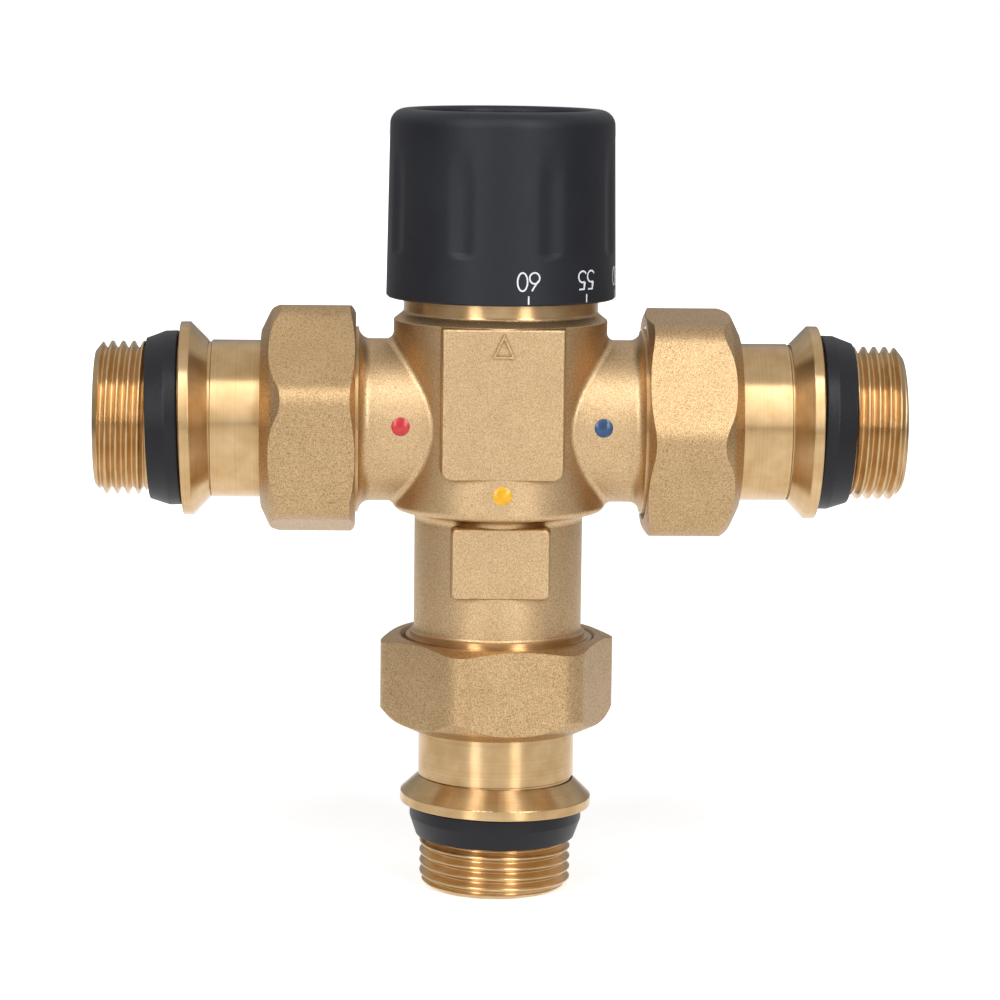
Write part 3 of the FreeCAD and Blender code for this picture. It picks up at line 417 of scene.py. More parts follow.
def blasted_brass(name, light, deep, grit, relief, roughness, pitting):
    """Shot-blasted brass all over: sandy and matt, with soft broad highlights."""
    finish, tree, shader = new_finish(name, {"Metallic": 1.0})
    blasted(tree, shader, light, deep, grit, relief, roughness, pitting)
    return finish


def forged_and_machined_brass(name):
    """The body: shot-blasted, and turned afterwards at its neck, collars, spigots and lip."""
    colours, body = looks().colours, looks().body
    finish, tree, shader = new_finish(name, {"Metallic": 1.0})
    blasted(
        tree, shader, colours.body, colours.body_deep, grit=0.2, relief=0.036, roughness=0.42, pitting=0.2)
    where = add_node(tree, "ShaderNodeTexCoord").outputs["Object"]
    parts = add_node(tree, "ShaderNodeSeparateXYZ", None, {"Vector": where}).outputs
    side = add_node(tree, "ShaderNodeMath", {"operation": "ABSOLUTE"}, {0: parts["X"]}).outputs[0]
    on_side = add_node(tree, "ShaderNodeMath", {"operation": "GREATER_THAN"}, {
        0: side, 1: body.spigots_from}).outputs[0]
    on_top = add_node(tree, "ShaderNodeMath", {"operation": "GREATER_THAN"}, {
        0: parts["Z"], 1: body.neck_from}).outputs[0]
    below = add_node(tree, "ShaderNodeMath", {"operation": "LESS_THAN"}, {
        0: parts["Z"], 1: body.lip_below}).outputs[0]
    ends = add_node(tree, "ShaderNodeMath", {"operation": "MAXIMUM"}, {0: on_top, 1: below}).outputs[0]
    mask = add_node(tree, "ShaderNodeMath", {"operation": "MAXIMUM"}, {0: ends, 1: on_side}).outputs[0]
    # The spigots were turned about the ports' axis, and the neck and lip about the valve's
    places = []
    sockets = (("FLOAT", 2, 0), ("FLOAT", 2, 0), ("VECTOR", 4, 1))
    about = zip(lathe(tree, "Z", where), lathe(tree, "X", where), sockets)
    for upright, level, (kind, first, result) in about:
        chosen = add_node(tree, "ShaderNodeMix", {"data_type": kind}, {
            0: on_side, first: upright, first + 1: level})
        places.append(chosen.outputs[result])
    machined = add_node(tree, "ShaderNodeBsdfPrincipled", None, TURNED)
    turned(tree, machined, places)
    both = add_node(tree, "ShaderNodeMixShader", None, {
        0: mask, 1: shader.outputs["BSDF"], 2: machined.outputs["BSDF"]})
    tree.links.new(both.outputs[0], tree.nodes["Material Output"].inputs["Surface"])
    return finish


def clouded(name, values, rgb, darker, size, detail, clear, uneven):
    """A finish whose colour and gloss drift in soft clouds of a size in millimetres."""
    finish, tree, shader = new_finish(name, values)
    where = add_node(tree, "ShaderNodeTexCoord").outputs["Object"]
    cloud = add_node(tree, "ShaderNodeTexNoise", None, {
        "Vector": where, "Scale": grains(size), "Detail": detail}).outputs["Fac"]
    lightness = add_node(tree, "ShaderNodeMapRange", None, {
        "Value": cloud, "From Min": clear, "From Max": 1 - clear}).outputs["Result"]
    base = add_node(tree, "ShaderNodeMix", {"data_type": "RGBA"}, {
        0: lightness, 6: opaque(rgb, darker), 7: opaque(rgb)}).outputs[2]
    tree.links.new(base, shader.inputs["Base Color"])
    if uneven:
        rough = add_node(tree, "ShaderNodeMapRange", None, {
            "Value": cloud, "From Min": clear, "From Max": 1 - clear,
            "To Min": values["Roughness"] - uneven, "To Max": values["Roughness"] + uneven}).outputs["Result"]
        tree.links.new(rough, shader.inputs["Roughness"])
    return finish, tree, shader, cloud, where


def moulded(name, rgb, roughness, grain=0.35, relief=0.006, sheen=0.0, spec=0.5):
    """Moulded plastic or rubber: satin, with its mould's fine spark texture and cloudy handling marks."""
    values = {
        "Metallic": 0.0, "Roughness": roughness, "IOR": 1.5, "Specular IOR Level": spec,
        "Sheen Weight": sheen}
    finish, tree, shader, _, where = clouded(
        name, values, rgb, darker=0.82, size=9.0, detail=3.0, clear=0.3, uneven=0.05)
    fine = add_node(tree, "ShaderNodeTexNoise", None, {
        "Vector": where, "Scale": grains(grain), "Detail": 2.0}).outputs["Fac"]
    bump = add_node(tree, "ShaderNodeBump", None, {"Strength": 0.6, "Distance": relief * MM, "Height": fine})
    tree.links.new(bump.outputs["Normal"], shader.inputs["Normal"])
    return finish


def enamel(name, rgb):
    """A drop of stoving enamel: smooth, glossy and a little uneven on top."""
    values = {"Metallic": 0.0, "Roughness": 0.22, "IOR": 1.52}
    finish, tree, shader, pull, _ = clouded(
        name, values, rgb, darker=0.78, size=1.1, detail=1.0, clear=0.35, uneven=0.0)
    bump = add_node(tree, "ShaderNodeBump", None, {"Strength": 0.7, "Distance": 0.12 * MM, "Height": pull})
    tree.links.new(bump.outputs["Normal"], shader.inputs["Normal"])
    return finish


def steel(name, rgb, roughness):
    """Drawn or plated steel: cool grey, with faint streaks."""
    values = {"Metallic": 1.0, "Roughness": roughness}
    return clouded(name, values, rgb, darker=0.7, size=0.8, detail=3.0, clear=0.3, uneven=0.06)[0]


FINISHES = {}


def finish_for(name):
    """A finish by name, made once."""
    if name not in FINISHES:
        colours = looks().colours
        makers = {
            # Pale sandy brass, bright where the lathe has been
            "forged_brass_shot_blasted": lambda: forged_and_machined_brass(name),
            # The same grain, browner and more pitted than the body's
            "nut_brass_shot_blasted": lambda: blasted_brass(
                name, colours.nut, colours.nut_deep, grit=0.21, relief=0.038, roughness=0.42, pitting=0.6),
            # Bright rings with a long streak of light across them
            "turned_brass_along_x": lambda: turned_brass(name, "X"),
            "turned_brass_along_z": lambda: turned_brass(name, "Z"),
            # Blue-black satin with a soft sheen at its edges
            "abs_black_moulded": lambda: moulded(
                name, colours.abs_black, 0.5, grain=0.42, relief=0.034, sheen=0.03, spec=0.40),
            # A little glossier and blacker than the knob
            "epdm_black_moulded": lambda: moulded(
                name, colours.rubber, 0.43, grain=0.6, relief=0.05, spec=0.36),
            # Milky or mid grey, slippery and softly glossy
            "acetal_white_moulded": lambda: moulded(name, colours.acetal, 0.4),
            "acetal_grey_moulded": lambda: moulded(name, colours.grey_acetal, 0.42),
            # Dull green sheet with a felted grain
            "fibre_pressed": lambda: moulded(name, colours.fibre, 0.7, grain=0.25, relief=0.02),
            # Crisp matt white lines
            "ink_white_pad_printed": lambda: moulded(name, colours.print_white, 0.5, grain=0.3, relief=0.002),
            # Wire and plated screws, the plated ones brighter
            "spring_steel_drawn": lambda: steel(name, colours.steel, 0.3),
            "steel_zinc_plated": lambda: steel(name, colours.steel, 0.22),
            # Round glossy drops of colour
            "enamel_red": lambda: enamel(name, colours.red),
            "enamel_blue": lambda: enamel(name, colours.blue),
            "enamel_yellow": lambda: enamel(name, colours.yellow),
        }
        FINISHES[name] = makers[name]()
    return FINISHES[name]


def dress(node, finish):
    """Gives a CAD node its finish."""
    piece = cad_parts[node]
    if not piece.material_slots:
        piece.data.materials.append(None)
    for place in piece.material_slots:
        place.material = finish_for(finish)


# Meshes

# Points closer than this are one
WELD = 1e-7


def add_piece(name, points, faces, body, finish, replaced=(), sharp=35):
    """A mesh piece in the row frame that takes a finish and, when given a body, rides on it."""
    mesh = bpy.data.meshes.new(name)
    mesh.from_pydata([tuple(point) for point in points], [], faces)
    work = bmesh.new()
    work.from_mesh(mesh)
    bmesh.ops.remove_doubles(work, verts=work.verts, dist=WELD)
    bmesh.ops.recalc_face_normals(work, faces=work.faces)
    work.to_mesh(mesh)
    work.free()
    mesh.polygons.foreach_set("use_smooth", [True] * len(mesh.polygons))
    mesh.set_sharp_from_angle(angle=math.radians(sharp))
    mesh.materials.append(finish_for(finish))
    piece = bpy.data.objects.new(name, mesh)
    bpy.context.scene.collection.objects.link(piece)
    if body:
        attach(piece, body)
    if replaced:
        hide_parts(*replaced)
    return piece


def port_point(origin, outward, along, radius, turn):
    """A point about a port's axis, at a turn from the front."""
    side = outward.cross(FRONT)
    return origin + outward * along + (FRONT * math.cos(turn) + side * math.sin(turn)) * radius


def revolved(origin, outward, stations, segments):
    """Points and faces of a closed section carried round an axis, whose radii can change with the turn."""
    points = []
    for along, radius in stations:
        for step in range(segments):
            turn = 2 * math.pi * step / segments
            here = radius(turn) if callable(radius) else radius
            points.append(port_point(origin, outward, along, here, turn))
    faces = []
    count = len(stations)
    for station in range(count):
        following = (station + 1) % count
        for step in range(segments):
            ahead = (step + 1) % segments
            faces.append((
                station * segments + step, station * segments + ahead,
                following * segments + ahead, following * segments + step))
    return points, faces


# A rounded pipe thread's depth, and the radius of its crests and roots, as shares of its pitch
THREAD_DEPTH = 0.64033
THREAD_ROUNDING = 0.137329


def thread_drop(place, pitch, flank):
    """How far a rounded pipe thread lies below its crest, at a place along its pitch."""
    sharp_height = pitch / (2 * math.tan(flank))
    depth = sharp_height * 2 / 3
    rounding = THREAD_ROUNDING * pitch
    off_crest = abs((place / pitch + 0.5) % 1 - 0.5) * pitch
    straight = sharp_height * 2 * off_crest / pitch - sharp_height / 6
    curved = rounding * math.cos(flank)
    if off_crest < curved:
        return rounding - math.sqrt(rounding ** 2 - off_crest ** 2)
    off_root = pitch / 2 - off_crest
    if off_root < curved:
        return depth - (rounding - math.sqrt(rounding ** 2 - off_root ** 2))
    return straight


def thread_stations(start, stop, pitch, crest, root, flank, end_radius, slope, rows, inward=0.0):
    """Stations of a right-hand thread between two places, with its crests cut by a cone at the end face."""
    steps = max(2, round(abs(stop - start) / pitch * rows))
    stations = []
    for step in range(steps + 1):
        along = start + (stop - start) * step / steps

        def radius(turn, along=along):
            place = along + inward + pitch * turn / (2 * math.pi)
            cone = end_radius + slope * abs(along)
            return min(max(crest - thread_drop(place, pitch, flank), root), cone)
        stations.append((along, radius))
    return stations


def turned_about(port):
    """The turned finish whose rings run round a port's axis."""
    return "turned_brass_along_" + ("z" if port == "mixed" else "x")


# Operators, one for each piece or group of like pieces

# Points round the axis of a turned piece, and of the knob with its flutes
TURNED_STEPS = 160
KNOB_STEPS = 360
# Rows of points along one pitch of a thread
TAIL_ROWS = 18
UNION_ROWS = 16


class VALVE_OT_tailpieces(bpy.types.Operator):
    """Turn the three tailpieces with their pipe threads, bores and lugs."""

    bl_idname = "valve.tailpieces"
    bl_label = "Threaded tailpieces"

    def execute(self, context):
        sizes = looks().threads
        for port, outward in OUTWARD.items():
            low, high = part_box(port + "_tailpiece")
            centre = (low + high) / 2
            half = abs((high - low).dot(outward)) / 2
            end = centre + outward * half
            stations = self.section(sizes, 2 * half, getattr(sizes, port + "_start"))
            points, faces = revolved(end, outward, stations, TURNED_STEPS)
            self.add_lugs(sizes, end, outward, points, faces)
            add_piece(
                port + "_threaded_tail", points, faces, port + "_tail", turned_about(port),
                [port + "_tailpiece"])
        return {"FINISHED"}

    def section(self, sizes, total, thread_start):
        """Stations from the end face inward along the outside, and back along the bore."""
        thread_foot = sizes.tail_chamfer + sizes.tail_stretch
        relief_foot = thread_foot + sizes.tail_relief
        land_foot = relief_foot + sizes.tail_land_stretch
        flange_top = total - sizes.tail_flange_width
        pocket_end = total - sizes.tail_pocket_depth
        slope = (sizes.tail_crest - sizes.tail_end) / sizes.tail_chamfer
        root = sizes.tail_crest - THREAD_DEPTH * sizes.tail_pitch
        edge = sizes.tail_edge
        thread = thread_stations(
            -sizes.lead_in, -thread_foot, sizes.tail_pitch, sizes.tail_crest, root, sizes.flank,
            sizes.tail_end, slope, TAIL_ROWS, thread_start)
        return [
            (0, sizes.tail_bore + 2 * edge),
            (0, sizes.tail_end),
            *thread,
            (-thread_foot - sizes.tail_relief_slope, sizes.tail_relief_radius),
            (-relief_foot, sizes.tail_relief_radius),
            (-relief_foot, sizes.tail_land - edge),
            (-relief_foot - edge, sizes.tail_land),
            (-land_foot, sizes.tail_land),
            (-land_foot, sizes.tail_barrel - edge),
            (-land_foot - edge, sizes.tail_barrel),
            (-flange_top, sizes.tail_barrel),
            (-flange_top, sizes.tail_flange - edge),
            (-flange_top - edge, sizes.tail_flange),
            (-total + edge, sizes.tail_flange),
            (-total, sizes.tail_flange - edge),
            (-total, sizes.tail_pocket + edge),
            (-total + edge, sizes.tail_pocket),
            (-pocket_end, sizes.tail_pocket),
            (-pocket_end + sizes.tail_pocket - sizes.tail_bore, sizes.tail_bore),
            (-2 * edge, sizes.tail_bore),
        ]

    def add_lugs(self, sizes, end, outward, points, faces):
        """Adds the two driving lugs, one on each side of the bore."""
        side = outward.cross(FRONT)
        lug = ((-sizes.lug_height, -1), (sizes.lug_root, -1), (sizes.lug_root, 1), (-sizes.lug_height, 1))
        for way in (1, -1):
            first = len(points)
            for along in (-sizes.lug_setback, -sizes.lug_setback - sizes.lug_stretch):
                for reach, width in lug:
                    points.append(
                        end + outward * along + side * way * (sizes.tail_bore + reach)
                        + FRONT * width * sizes.lug_width / 2)
            faces += [[first + corner for corner in face] for face in (
                (0, 1, 2, 3), (4, 5, 6, 7), (0, 1, 5, 4), (1, 2, 6, 5), (2, 3, 7, 6), (3, 0, 4, 7))]


class VALVE_OT_spigot_threads(bpy.types.Operator):
    """Cut the union thread on each of the body's three spigots."""

    bl_idname = "valve.spigot_threads"
    bl_label = "Spigot threads"

    def execute(self, context):
        sizes = looks().threads
        for port, outward in OUTWARD.items():
            gasket_low, gasket_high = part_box(port + "_union_gasket")
            centre = (gasket_low + gasket_high) / 2
            half = min(abs(part) for part in (gasket_high - gasket_low)) / 2
            end = centre - outward * half
            inner = sizes.union_root - sizes.union_skin
            top = -sizes.union_setback
            stations = [(top, inner), (top, sizes.union_root + top)]
            # The end's chamfer is at 45 degrees
            stations += thread_stations(
                -sizes.lead_in, -sizes.union_stretch, sizes.union_pitch, sizes.union_crest,
                sizes.union_root, sizes.flank, sizes.union_root, 1.0, UNION_ROWS)
            stations += [(-sizes.union_stretch, inner)]
            points, faces = revolved(end, outward, stations, TURNED_STEPS)
            add_piece(
                port + "_spigot_thread", points, faces, "valve", turned_about(port))
        return {"FINISHED"}


def rounded_section(corners, steps=7):
    """Stations along a closed section, from corners that are each a place, a radius and a rounding."""
    stations = []
    for index, (along, radius, rounding) in enumerate(corners):
        corner = Vector((along, radius))
        if not rounding:
            stations.append((along, radius))
            continue
        before = (Vector(corners[index - 1][:2]) - corner).normalized()
        after = (Vector(corners[(index + 1) % len(corners)][:2]) - corner).normalized()
        half = before.angle(after) / 2
        centre = corner + (before + after).normalized() * rounding / math.sin(half)
        first = corner + before * rounding / math.tan(half) - centre
        last = corner + after * rounding / math.tan(half) - centre
        for step in range(steps + 1):
            spot = centre + first.lerp(last, step / steps).normalized() * rounding
            stations.append(tuple(spot))
    return stations


class VALVE_OT_knob(bpy.types.Operator):
    """Mould the knob, with flutes that are soft at their sides and end in a ledge."""

    bl_idname = "valve.knob"
    bl_label = "Knob"

    def execute(self, context):
        sizes = looks().knob
        low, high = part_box("knob")
        foot, top = low.z, high.z
        foot_radius = (high.x - low.x) / 2
        floor = top - sizes.recess_depth
        hub_top = floor + sizes.hub_rise
        draft = (foot_radius - sizes.top_radius) / (top - foot)
        spacing = 2 * math.pi / sizes.flutes
        # Height of a row of faces at a flute's lower end, and elsewhere
        fine = 0.1 * MM
        coarse = 0.5 * MM

        def wall_at(height):
            """The outside radius at a height, as a function of the turn."""
            rise = height - foot
            plain = foot_radius - rise * draft
            fade = min(max((sizes.flute_head - rise) / (sizes.flute_head - sizes.flute_fade), 0), 1)
            fade = fade * fade * (3 - 2 * fade)

            def radius(turn):
                off = (turn - sizes.flute_turn + spacing / 2) % spacing - spacing / 2
                across = abs(off) * plain / sizes.flute_half
                if across >= 1 or fade == 0:
                    return plain
                # The lower end is a shallow bow with a sloping ledge
                above = rise - sizes.flute_foot - sizes.flute_bow * across ** 2
                cut = min(max(above / sizes.flute_ledge, 0), 1)
                return plain - sizes.flute_depth * fade * cut * math.cos(math.pi / 2 * across) ** 2
            return radius

        heights = [foot + sizes.foot_edge]
        while heights[-1] < top - sizes.edge_round - coarse:
            near_end = -coarse < heights[-1] - foot - sizes.flute_foot < sizes.flute_ledge + coarse
            heights.append(heights[-1] + (fine if near_end else coarse))
        stations = [(foot, foot_radius - sizes.foot_edge)]
        stations += [(height, wall_at(height)) for height in heights]
        corners = [
            (heights[-1], foot_radius - (heights[-1] - foot) * draft, 0),
            (top, sizes.top_radius, sizes.edge_round),
            (top, sizes.rim_bore, sizes.rim_round),
            (floor, sizes.rim_bore - sizes.recess_draft, sizes.recess_round),
            (floor, sizes.hub + sizes.hub_draft, sizes.hub_foot_round),
            (hub_top, sizes.hub, sizes.hub_edge_round),
            (hub_top, sizes.screw_hole, 0),
            (hub_top - sizes.screw_seat, sizes.screw_hole, 0),
            (hub_top - sizes.screw_seat, sizes.socket, 0),
            (floor - sizes.wall, sizes.socket, 0),
            (floor - sizes.wall, sizes.rim_bore - sizes.underside_draft, 0),
            (foot + sizes.skirt_depth, sizes.skirt_bore, 0),
            (foot, sizes.skirt_bore, 0),
        ]
        stations += rounded_section(corners)[1:]
        points, faces = revolved(Vector((0, 0, 0)), UP, stations, KNOB_STEPS)
        add_piece(
            "fluted_knob", points, faces, "dial", "abs_black_moulded", ["knob"], sharp=30)
        return {"FINISHED"}


def arc(centre, reach, first, last, steps=14):
    """Points of an elliptic arc, with angles in degrees."""
    points = []
    for step in range(steps + 1):
        turn = math.radians(first + (last - first) * step / steps)
        points.append((centre[0] + reach[0] * math.cos(turn), centre[1] + reach[1] * math.sin(turn)))
    return points


# Least cosine of half a bend that a printed line follows with a full mitre
MITRE_LIMIT = 0.5
# Width of a cell that is one high, and each digit's strokes in it
DIGIT_CELL = 0.52
DIGITS = {
    "0": [arc((0.26, 0.5), (0.26, 0.5), 90, 450, 28)],
    "3": [arc((0.25, 0.77), (0.21, 0.23), 155, -80) + arc((0.25, 0.27), (0.27, 0.27), 82, -150)],
    "4": [[(0.40, 0.0), (0.40, 1.0), (0.0, 0.27), (0.55, 0.27)]],
    "5": [[(0.48, 1.0), (0.13, 1.0), (0.08, 0.57)] + arc((0.23, 0.31), (0.29, 0.31), 118, -148, 18)],
    "6": [arc((0.27, 0.30), (0.27, 0.30), 0, 360, 24), [(0.42, 1.0), (0.24, 0.70), (0.06, 0.44)]],
}


class VALVE_OT_dial_print(bpy.types.Operator):
    """Print the numbers and ticks round the knob's foot, to be read from above."""

    bl_idname = "valve.dial_print"
    bl_label = "Dial print"

    def execute(self, context):
        sizes = looks().dial
        low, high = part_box("knob")
        foot = low.z
        reach = (high.x - low.x) / 2
        points = []
        faces = []
        draft = (reach - looks().knob.top_radius) / (high.z - foot)

        def on_knob(across, rise, out):
            """A point on the knob's side, or a little out of it."""
            radius = reach - rise * draft + out
            turn = across / reach
            return Vector((radius * math.sin(turn), -radius * math.cos(turn), foot + rise))

        def stroke(path):
            """One printed line as a thin closed ribbon."""
            half = sizes.stroke / 2
            first = len(points)
            for index, place in enumerate(path):
                before = Vector(path[max(index - 1, 0)])
                after = Vector(path[min(index + 1, len(path) - 1)])
                if path[0] == path[-1] and index in (0, len(path) - 1):
                    before, after = Vector(path[-2]), Vector(path[1])
                along = (after - before).normalized()
                normal = Vector((-along.y, along.x))
                inward = Vector(place) - before
                if inward.length > WELD and 0 < index < len(path) - 1:
                    # The ribbon keeps its width round a bend, as far as a mitre can reach
                    bend = inward.normalized().angle(after - Vector(place), 0)
                    normal = normal / max(math.cos(bend / 2), MITRE_LIMIT)
                for way, out in ((1, sizes.ink), (-1, sizes.ink), (-1, -2 * sizes.ink), (1, -2 * sizes.ink)):
                    spot = Vector(place) + normal * half * way
                    points.append(on_knob(spot.x, spot.y, out))
            for index in range(len(path) - 1):
                here = first + 4 * index
                for corner in range(4):
                    ahead = (corner + 1) % 4
                    faces.append((here + corner, here + ahead, here + 4 + ahead, here + 4 + corner))
            if path[0] != path[-1]:
                last = first + 4 * (len(path) - 1)
                faces.append((first, first + 3, first + 2, first + 1))
                faces.append((last, last + 1, last + 2, last + 3))

        wide = 2 * sizes.digit_width + sizes.digit_gap
        for index, reading in enumerate((60, 55, 50, 45, 40, 35, 30)):
            middle = reach * (sizes.first_turn + index * sizes.step)
            for place, digit in enumerate(str(reading)):
                start = -wide / 2 + place * (sizes.digit_width + sizes.digit_gap)
                for line in DIGITS[digit]:
                    path = []
                    for across, rise in line:
                        right = start + across / DIGIT_CELL * sizes.digit_width
                        # Turned half round, so that the numbers are read from above
                        path.append((middle - right, sizes.digit_foot + (1 - rise) * sizes.digit_height))
                    stroke(path)
            half_way = (sizes.tick_foot + sizes.tick_head) / 2
            stroke([(middle, sizes.tick_foot), (middle, half_way), (middle, sizes.tick_head)])
        add_piece("dial_print", points, faces, "dial", "ink_white_pad_printed")
        return {"FINISHED"}


class VALVE_OT_springs(bpy.types.Operator):
    """Copy each spring into a piece of its own, the check springs riding on their tails, and cut the return
    spring into a foot and a head.
    """

    bl_idname = "valve.springs"
    bl_label = "Springs"

    def execute(self, context):
        for port in INLETS:
            node = port + "_check_spring"
            low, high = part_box(node)
            piece = self.wound(node, port + "_check_spring_wire", port + "_tail")
            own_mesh(piece)
        # The return spring is cut at its middle into a foot, below, and a head, above
        low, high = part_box("return_spring")
        middle = (low + high) / 2
        for name, way, bodies, ends in (
                ("return_spring_foot", UP, ("valve", "lift"), (low, middle)),
                ("return_spring_head", -UP, ("lift", "shutter_group"), (middle, high))):
            piece = self.wound("return_spring", name, None)
            self.cut(piece.data, middle, way)
            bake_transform(piece)
        return {"FINISHED"}

    def wound(self, node, name, body):
        """A copy of a spring's solid, as a piece of its own."""
        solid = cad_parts[node].data
        points = [point.co for point in solid.vertices]
        faces = [tuple(face.vertices) for face in solid.polygons]
        return add_piece(name, points, faces, body, "spring_steel_drawn", [node], sharp=50)

    def cut(self, mesh, place, way):
        """Takes away what lies past a level, and closes the wire's cut ends."""
        work = bmesh.new()
        work.from_mesh(mesh)
        bmesh.ops.bisect_plane(
            work, geom=work.verts[:] + work.edges[:] + work.faces[:], dist=WELD, plane_co=place, plane_no=way,
            clear_outer=True)
        bmesh.ops.holes_fill(work, edges=[edge for edge in work.edges if edge.is_boundary])
        work.to_mesh(mesh)
        work.free()


class VALVE_OT_finishes(bpy.types.Operator):
    """Give every solid of the frame the finish of its real counterpart."""

    bl_idname = "valve.finishes"
    bl_label = "Finishes"

    def execute(self, context):
        worn = {
            "valve_body": "forged_brass_shot_blasted",
            "bonnet": "turned_brass_along_z",
            "bonnet_o_ring": "epdm_black_moulded",
            "spindle": "turned_brass_along_z",
            "spindle_o_rings": "epdm_black_moulded",
            "spindle_circlip": "spring_steel_drawn",
            "knob": "abs_black_moulded",
            "knob_screw": "steel_zinc_plated",
            "lift_carrier": "turned_brass_along_z",
            "carrier_ring": "spring_steel_drawn",
            "spring_cup": "turned_brass_along_z",
            "over_travel_spring": "spring_steel_drawn",
            "element_piston": "steel_zinc_plated",
            "wax_element": "turned_brass_along_z",
            "shutter": "acetal_grey_moulded",
            "shutter_o_ring": "epdm_black_moulded",
            "return_spring": "spring_steel_drawn",
            "hot_mark": "enamel_red",
            "cold_mark": "enamel_blue",
            "mixed_mark": "enamel_yellow",
        }
        for port in OUTWARD:
            worn[port + "_union_nut"] = "nut_brass_shot_blasted"
            worn[port + "_union_gasket"] = "fibre_pressed"
            worn[port + "_tapered_seal"] = "epdm_black_moulded"
            worn[port + "_backing_ring"] = turned_about(port)
        for port in INLETS:
            worn[port + "_check_housing"] = "acetal_white_moulded"
            worn[port + "_check_retainer"] = "acetal_white_moulded"
            worn[port + "_check_poppet"] = "acetal_grey_moulded"
            worn[port + "_check_spring"] = "spring_steel_drawn"
            worn[port + "_check_o_ring"] = "epdm_black_moulded"
        for node, finish in worn.items():
            dress(node, finish)
        return {"FINISHED"}


def heading(turn, rise):
    """The way from the valve to a place, by its turn from the front and its angle above the horizon."""
    return Vector((math.sin(turn) * math.cos(rise), -math.cos(turn) * math.cos(rise), math.sin(rise)))


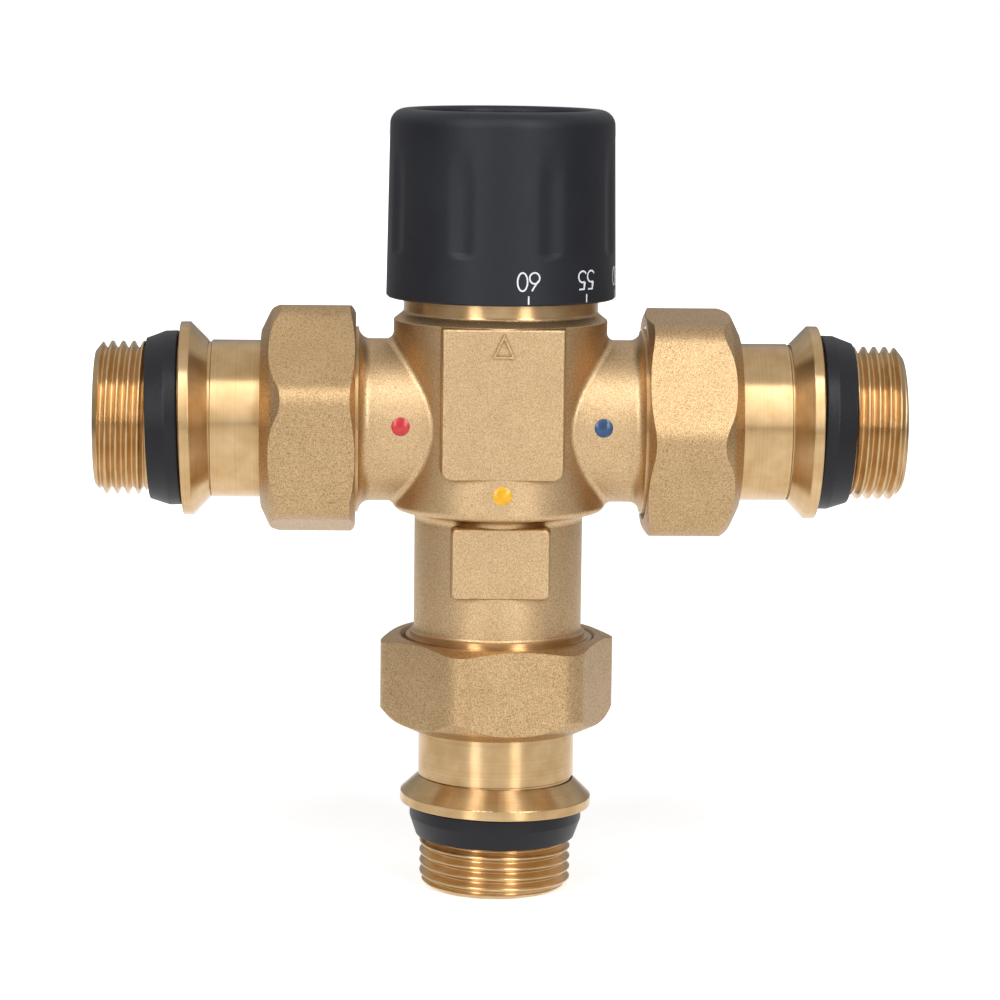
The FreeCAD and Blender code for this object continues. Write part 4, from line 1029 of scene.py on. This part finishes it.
class VALVE_OT_studio(bpy.types.Operator):
    """Set up the white floor, the room, two softboxes and the camera."""

    bl_idname = "valve.studio"
    bl_label = "Studio"

    def execute(self, context):
        studio = looks().studio
        scene = context.scene
        target = Vector((studio.look_across, 0, studio.look_height))
        self.add_floor(scene, studio)
        self.add_room(scene, studio)
        self.add_softbox(scene, "softbox_left", target, studio, studio.camera_turn - studio.lamp_turn)
        self.add_softbox(scene, "softbox_right", target, studio, studio.camera_turn + studio.lamp_turn)
        self.add_camera(scene, studio, target)
        scene.view_settings.view_transform = "Standard"
        return {"FINISHED"}

    def add_floor(self, scene, studio):
        """A white floor, wide enough to fill the picture."""
        half = studio.floor_width / 2
        mesh = bpy.data.meshes.new("studio_floor")
        corners = [(-half, -half, 0), (half, -half, 0), (half, half, 0), (-half, half, 0)]
        mesh.from_pydata(corners, [], [(0, 1, 2, 3)])
        # Matt white paper, a touch uneven
        finish, tree, shader = new_finish("paper_white_matt", {"Roughness": 0.9, "Specular IOR Level": 0.1})
        where = add_node(tree, "ShaderNodeTexCoord").outputs["Object"]
        cloud = add_node(tree, "ShaderNodeTexNoise", None, {"Vector": where, "Scale": 3.0}).outputs["Fac"]
        white = looks().colours.floor
        base = add_node(tree, "ShaderNodeMix", {"data_type": "RGBA"}, {
            0: cloud, 6: opaque(white, 0.98), 7: opaque(white)}).outputs[2]
        tree.links.new(base, shader.inputs["Base Color"])
        # The camera sees a floor that turns to pure white with its distance
        away = add_node(tree, "ShaderNodeVectorMath", {"operation": "LENGTH"}, {0: where}).outputs["Value"]
        seen = add_node(tree, "ShaderNodeMapRange", None, {
            "Value": away, "From Min": studio.floor_near, "From Max": studio.floor_far,
            "To Min": studio.floor_glow, "To Max": studio.floor_far_glow}).outputs["Result"]
        glow = add_node(tree, "ShaderNodeEmission", None, {"Strength": self.by_ray(tree, seen, 0.0, 0.0)})
        lit = add_node(tree, "ShaderNodeAddShader", None, {
            0: shader.outputs["BSDF"], 1: glow.outputs["Emission"]}).outputs[0]
        # Reflections see a floor that is lit in the middle and falls off to the sides
        across = add_node(tree, "ShaderNodeSeparateXYZ", None, {"Vector": where}).outputs["X"]
        aside = add_node(tree, "ShaderNodeMath", {"operation": "ABSOLUTE"}, {0: across}).outputs[0]
        strength = add_node(tree, "ShaderNodeMapRange", None, {
            "Value": aside, "From Min": studio.floor_middle, "From Max": studio.floor_side,
            "To Min": studio.floor_mirrored, "To Max": studio.floor_aside}).outputs["Result"]
        mirror = add_node(tree, "ShaderNodeEmission", None, {"Strength": strength})
        mirrored = add_node(tree, "ShaderNodeLightPath").outputs["Is Glossy Ray"]
        both = add_node(tree, "ShaderNodeMixShader", None, {
            0: mirrored, 1: lit, 2: mirror.outputs["Emission"]})
        tree.links.new(both.outputs[0], tree.nodes["Material Output"].inputs["Surface"])
        mesh.materials.append(finish)
        floor = bpy.data.objects.new("studio_floor", mesh)
        scene.collection.objects.link(floor)

    def by_ray(self, tree, to_camera, to_mirrors, to_matt):
        """One strength for the camera, one for reflections and see-through pieces, one for matt surfaces."""
        path = add_node(tree, "ShaderNodeLightPath").outputs
        mirrored = add_node(tree, "ShaderNodeMath", {"operation": "ADD", "use_clamp": True}, {
            0: path["Is Glossy Ray"], 1: path["Is Transmission Ray"]}).outputs[0]
        inner = add_node(tree, "ShaderNodeMapRange", None, {
            "Value": mirrored, "To Min": to_matt, "To Max": to_mirrors}).outputs["Result"]
        return add_node(tree, "ShaderNodeMix", {"data_type": "FLOAT"}, {
            0: path["Is Camera Ray"], 2: inner, 3: to_camera}).outputs[0]

    def add_room(self, scene, studio):
        """A dim room, lighter overhead, that looks white to the camera."""
        world = bpy.data.worlds.new("studio_room")
        scene.world = world
        world.use_nodes = True
        tree = world.node_tree
        back = tree.nodes["Background"]
        back.inputs["Color"].default_value = (1, 1, 1, 1)
        toward = add_node(tree, "ShaderNodeTexCoord").outputs["Generated"]
        rise = add_node(tree, "ShaderNodeSeparateXYZ", None, {"Vector": toward}).outputs["Z"]
        mirrored = add_node(tree, "ShaderNodeMapRange", None, {
            "Value": rise, "From Min": studio.wall_top, "From Max": studio.ceiling_edge,
            "To Min": studio.room_mirrored, "To Max": studio.room_overhead}).outputs["Result"]
        strength = self.by_ray(tree, 1.0, mirrored, studio.room_light)
        tree.links.new(strength, back.inputs["Strength"])

    def add_softbox(self, scene, name, target, studio, turn):
        """A tall soft lamp, aimed at the valve."""
        lamp = bpy.data.lights.new(name, "AREA")
        lamp.shape = "RECTANGLE"
        lamp.size, lamp.size_y = studio.lamp_width, studio.lamp_height
        lamp.energy = studio.lamp_power
        holder = bpy.data.objects.new(name, lamp)
        scene.collection.objects.link(holder)
        toward = heading(turn, studio.lamp_rise)
        holder.location = target + toward * studio.lamp_distance
        holder.rotation_euler = toward.to_track_quat("Z", "Y").to_euler()

    def add_camera(self, scene, studio, target):
        """The photograph's view: a long lens, a little above and a little to the left."""
        camera = bpy.data.cameras.new("camera")
        camera.sensor_fit = "HORIZONTAL"
        camera.sensor_width = 36
        camera.lens = studio.lens
        camera.clip_start = 0.01
        camera.clip_end = 50
        holder = bpy.data.objects.new("camera", camera)
        scene.collection.objects.link(holder)
        toward = heading(studio.camera_turn, studio.camera_rise)
        aim = toward.to_track_quat("Z", "Y").to_matrix() @ Matrix.Rotation(studio.camera_roll, 3, "Z")
        holder.matrix_world = Matrix.Translation(target + toward * studio.distance) @ aim.to_4x4()
        scene.camera = holder


class VALVE_PT_looks(bpy.types.Panel):
    """Lists the pieces and the values behind them."""

    bl_label = "Mixing valve"
    bl_idname = "VALVE_PT_looks"
    bl_space_type = "VIEW_3D"
    bl_region_type = "UI"
    bl_category = "Valve"

    def draw(self, context):
        for operator in OPERATORS:
            self.layout.operator(operator.bl_idname)
        for part in ValveLooks.__annotations__:
            group = getattr(looks(), part)
            box = self.layout.box()
            for name in group.__annotations__:
                box.prop(group, name)


OPERATORS = (
    VALVE_OT_finishes,
    VALVE_OT_tailpieces,
    VALVE_OT_spigot_threads,
    VALVE_OT_knob,
    VALVE_OT_dial_print,
    VALVE_OT_springs,
    VALVE_OT_studio,
)
GROUPS = (ValveBody, ValveThreads, ValveKnob, ValveDial, ValveColours, ValveStudio, ValveLooks)
CLASSES = GROUPS + OPERATORS + (VALVE_PT_looks,)


def register():
    """Registers the classes, and puts their values on the scene."""
    for kind in CLASSES:
        bpy.utils.register_class(kind)
    bpy.types.Scene.valve_looks = bpy.props.PointerProperty(type=ValveLooks)


def unregister():
    """Takes the classes and their values away again."""
    del bpy.types.Scene.valve_looks
    for kind in reversed(CLASSES):
        bpy.utils.unregister_class(kind)


def main():
    """Registers the classes, and dresses the frame."""
    register()
    for operator in OPERATORS:
        group, name = operator.bl_idname.split(".")
        getattr(getattr(bpy.ops, group), name)()


if __name__ == "__main__":
    main()
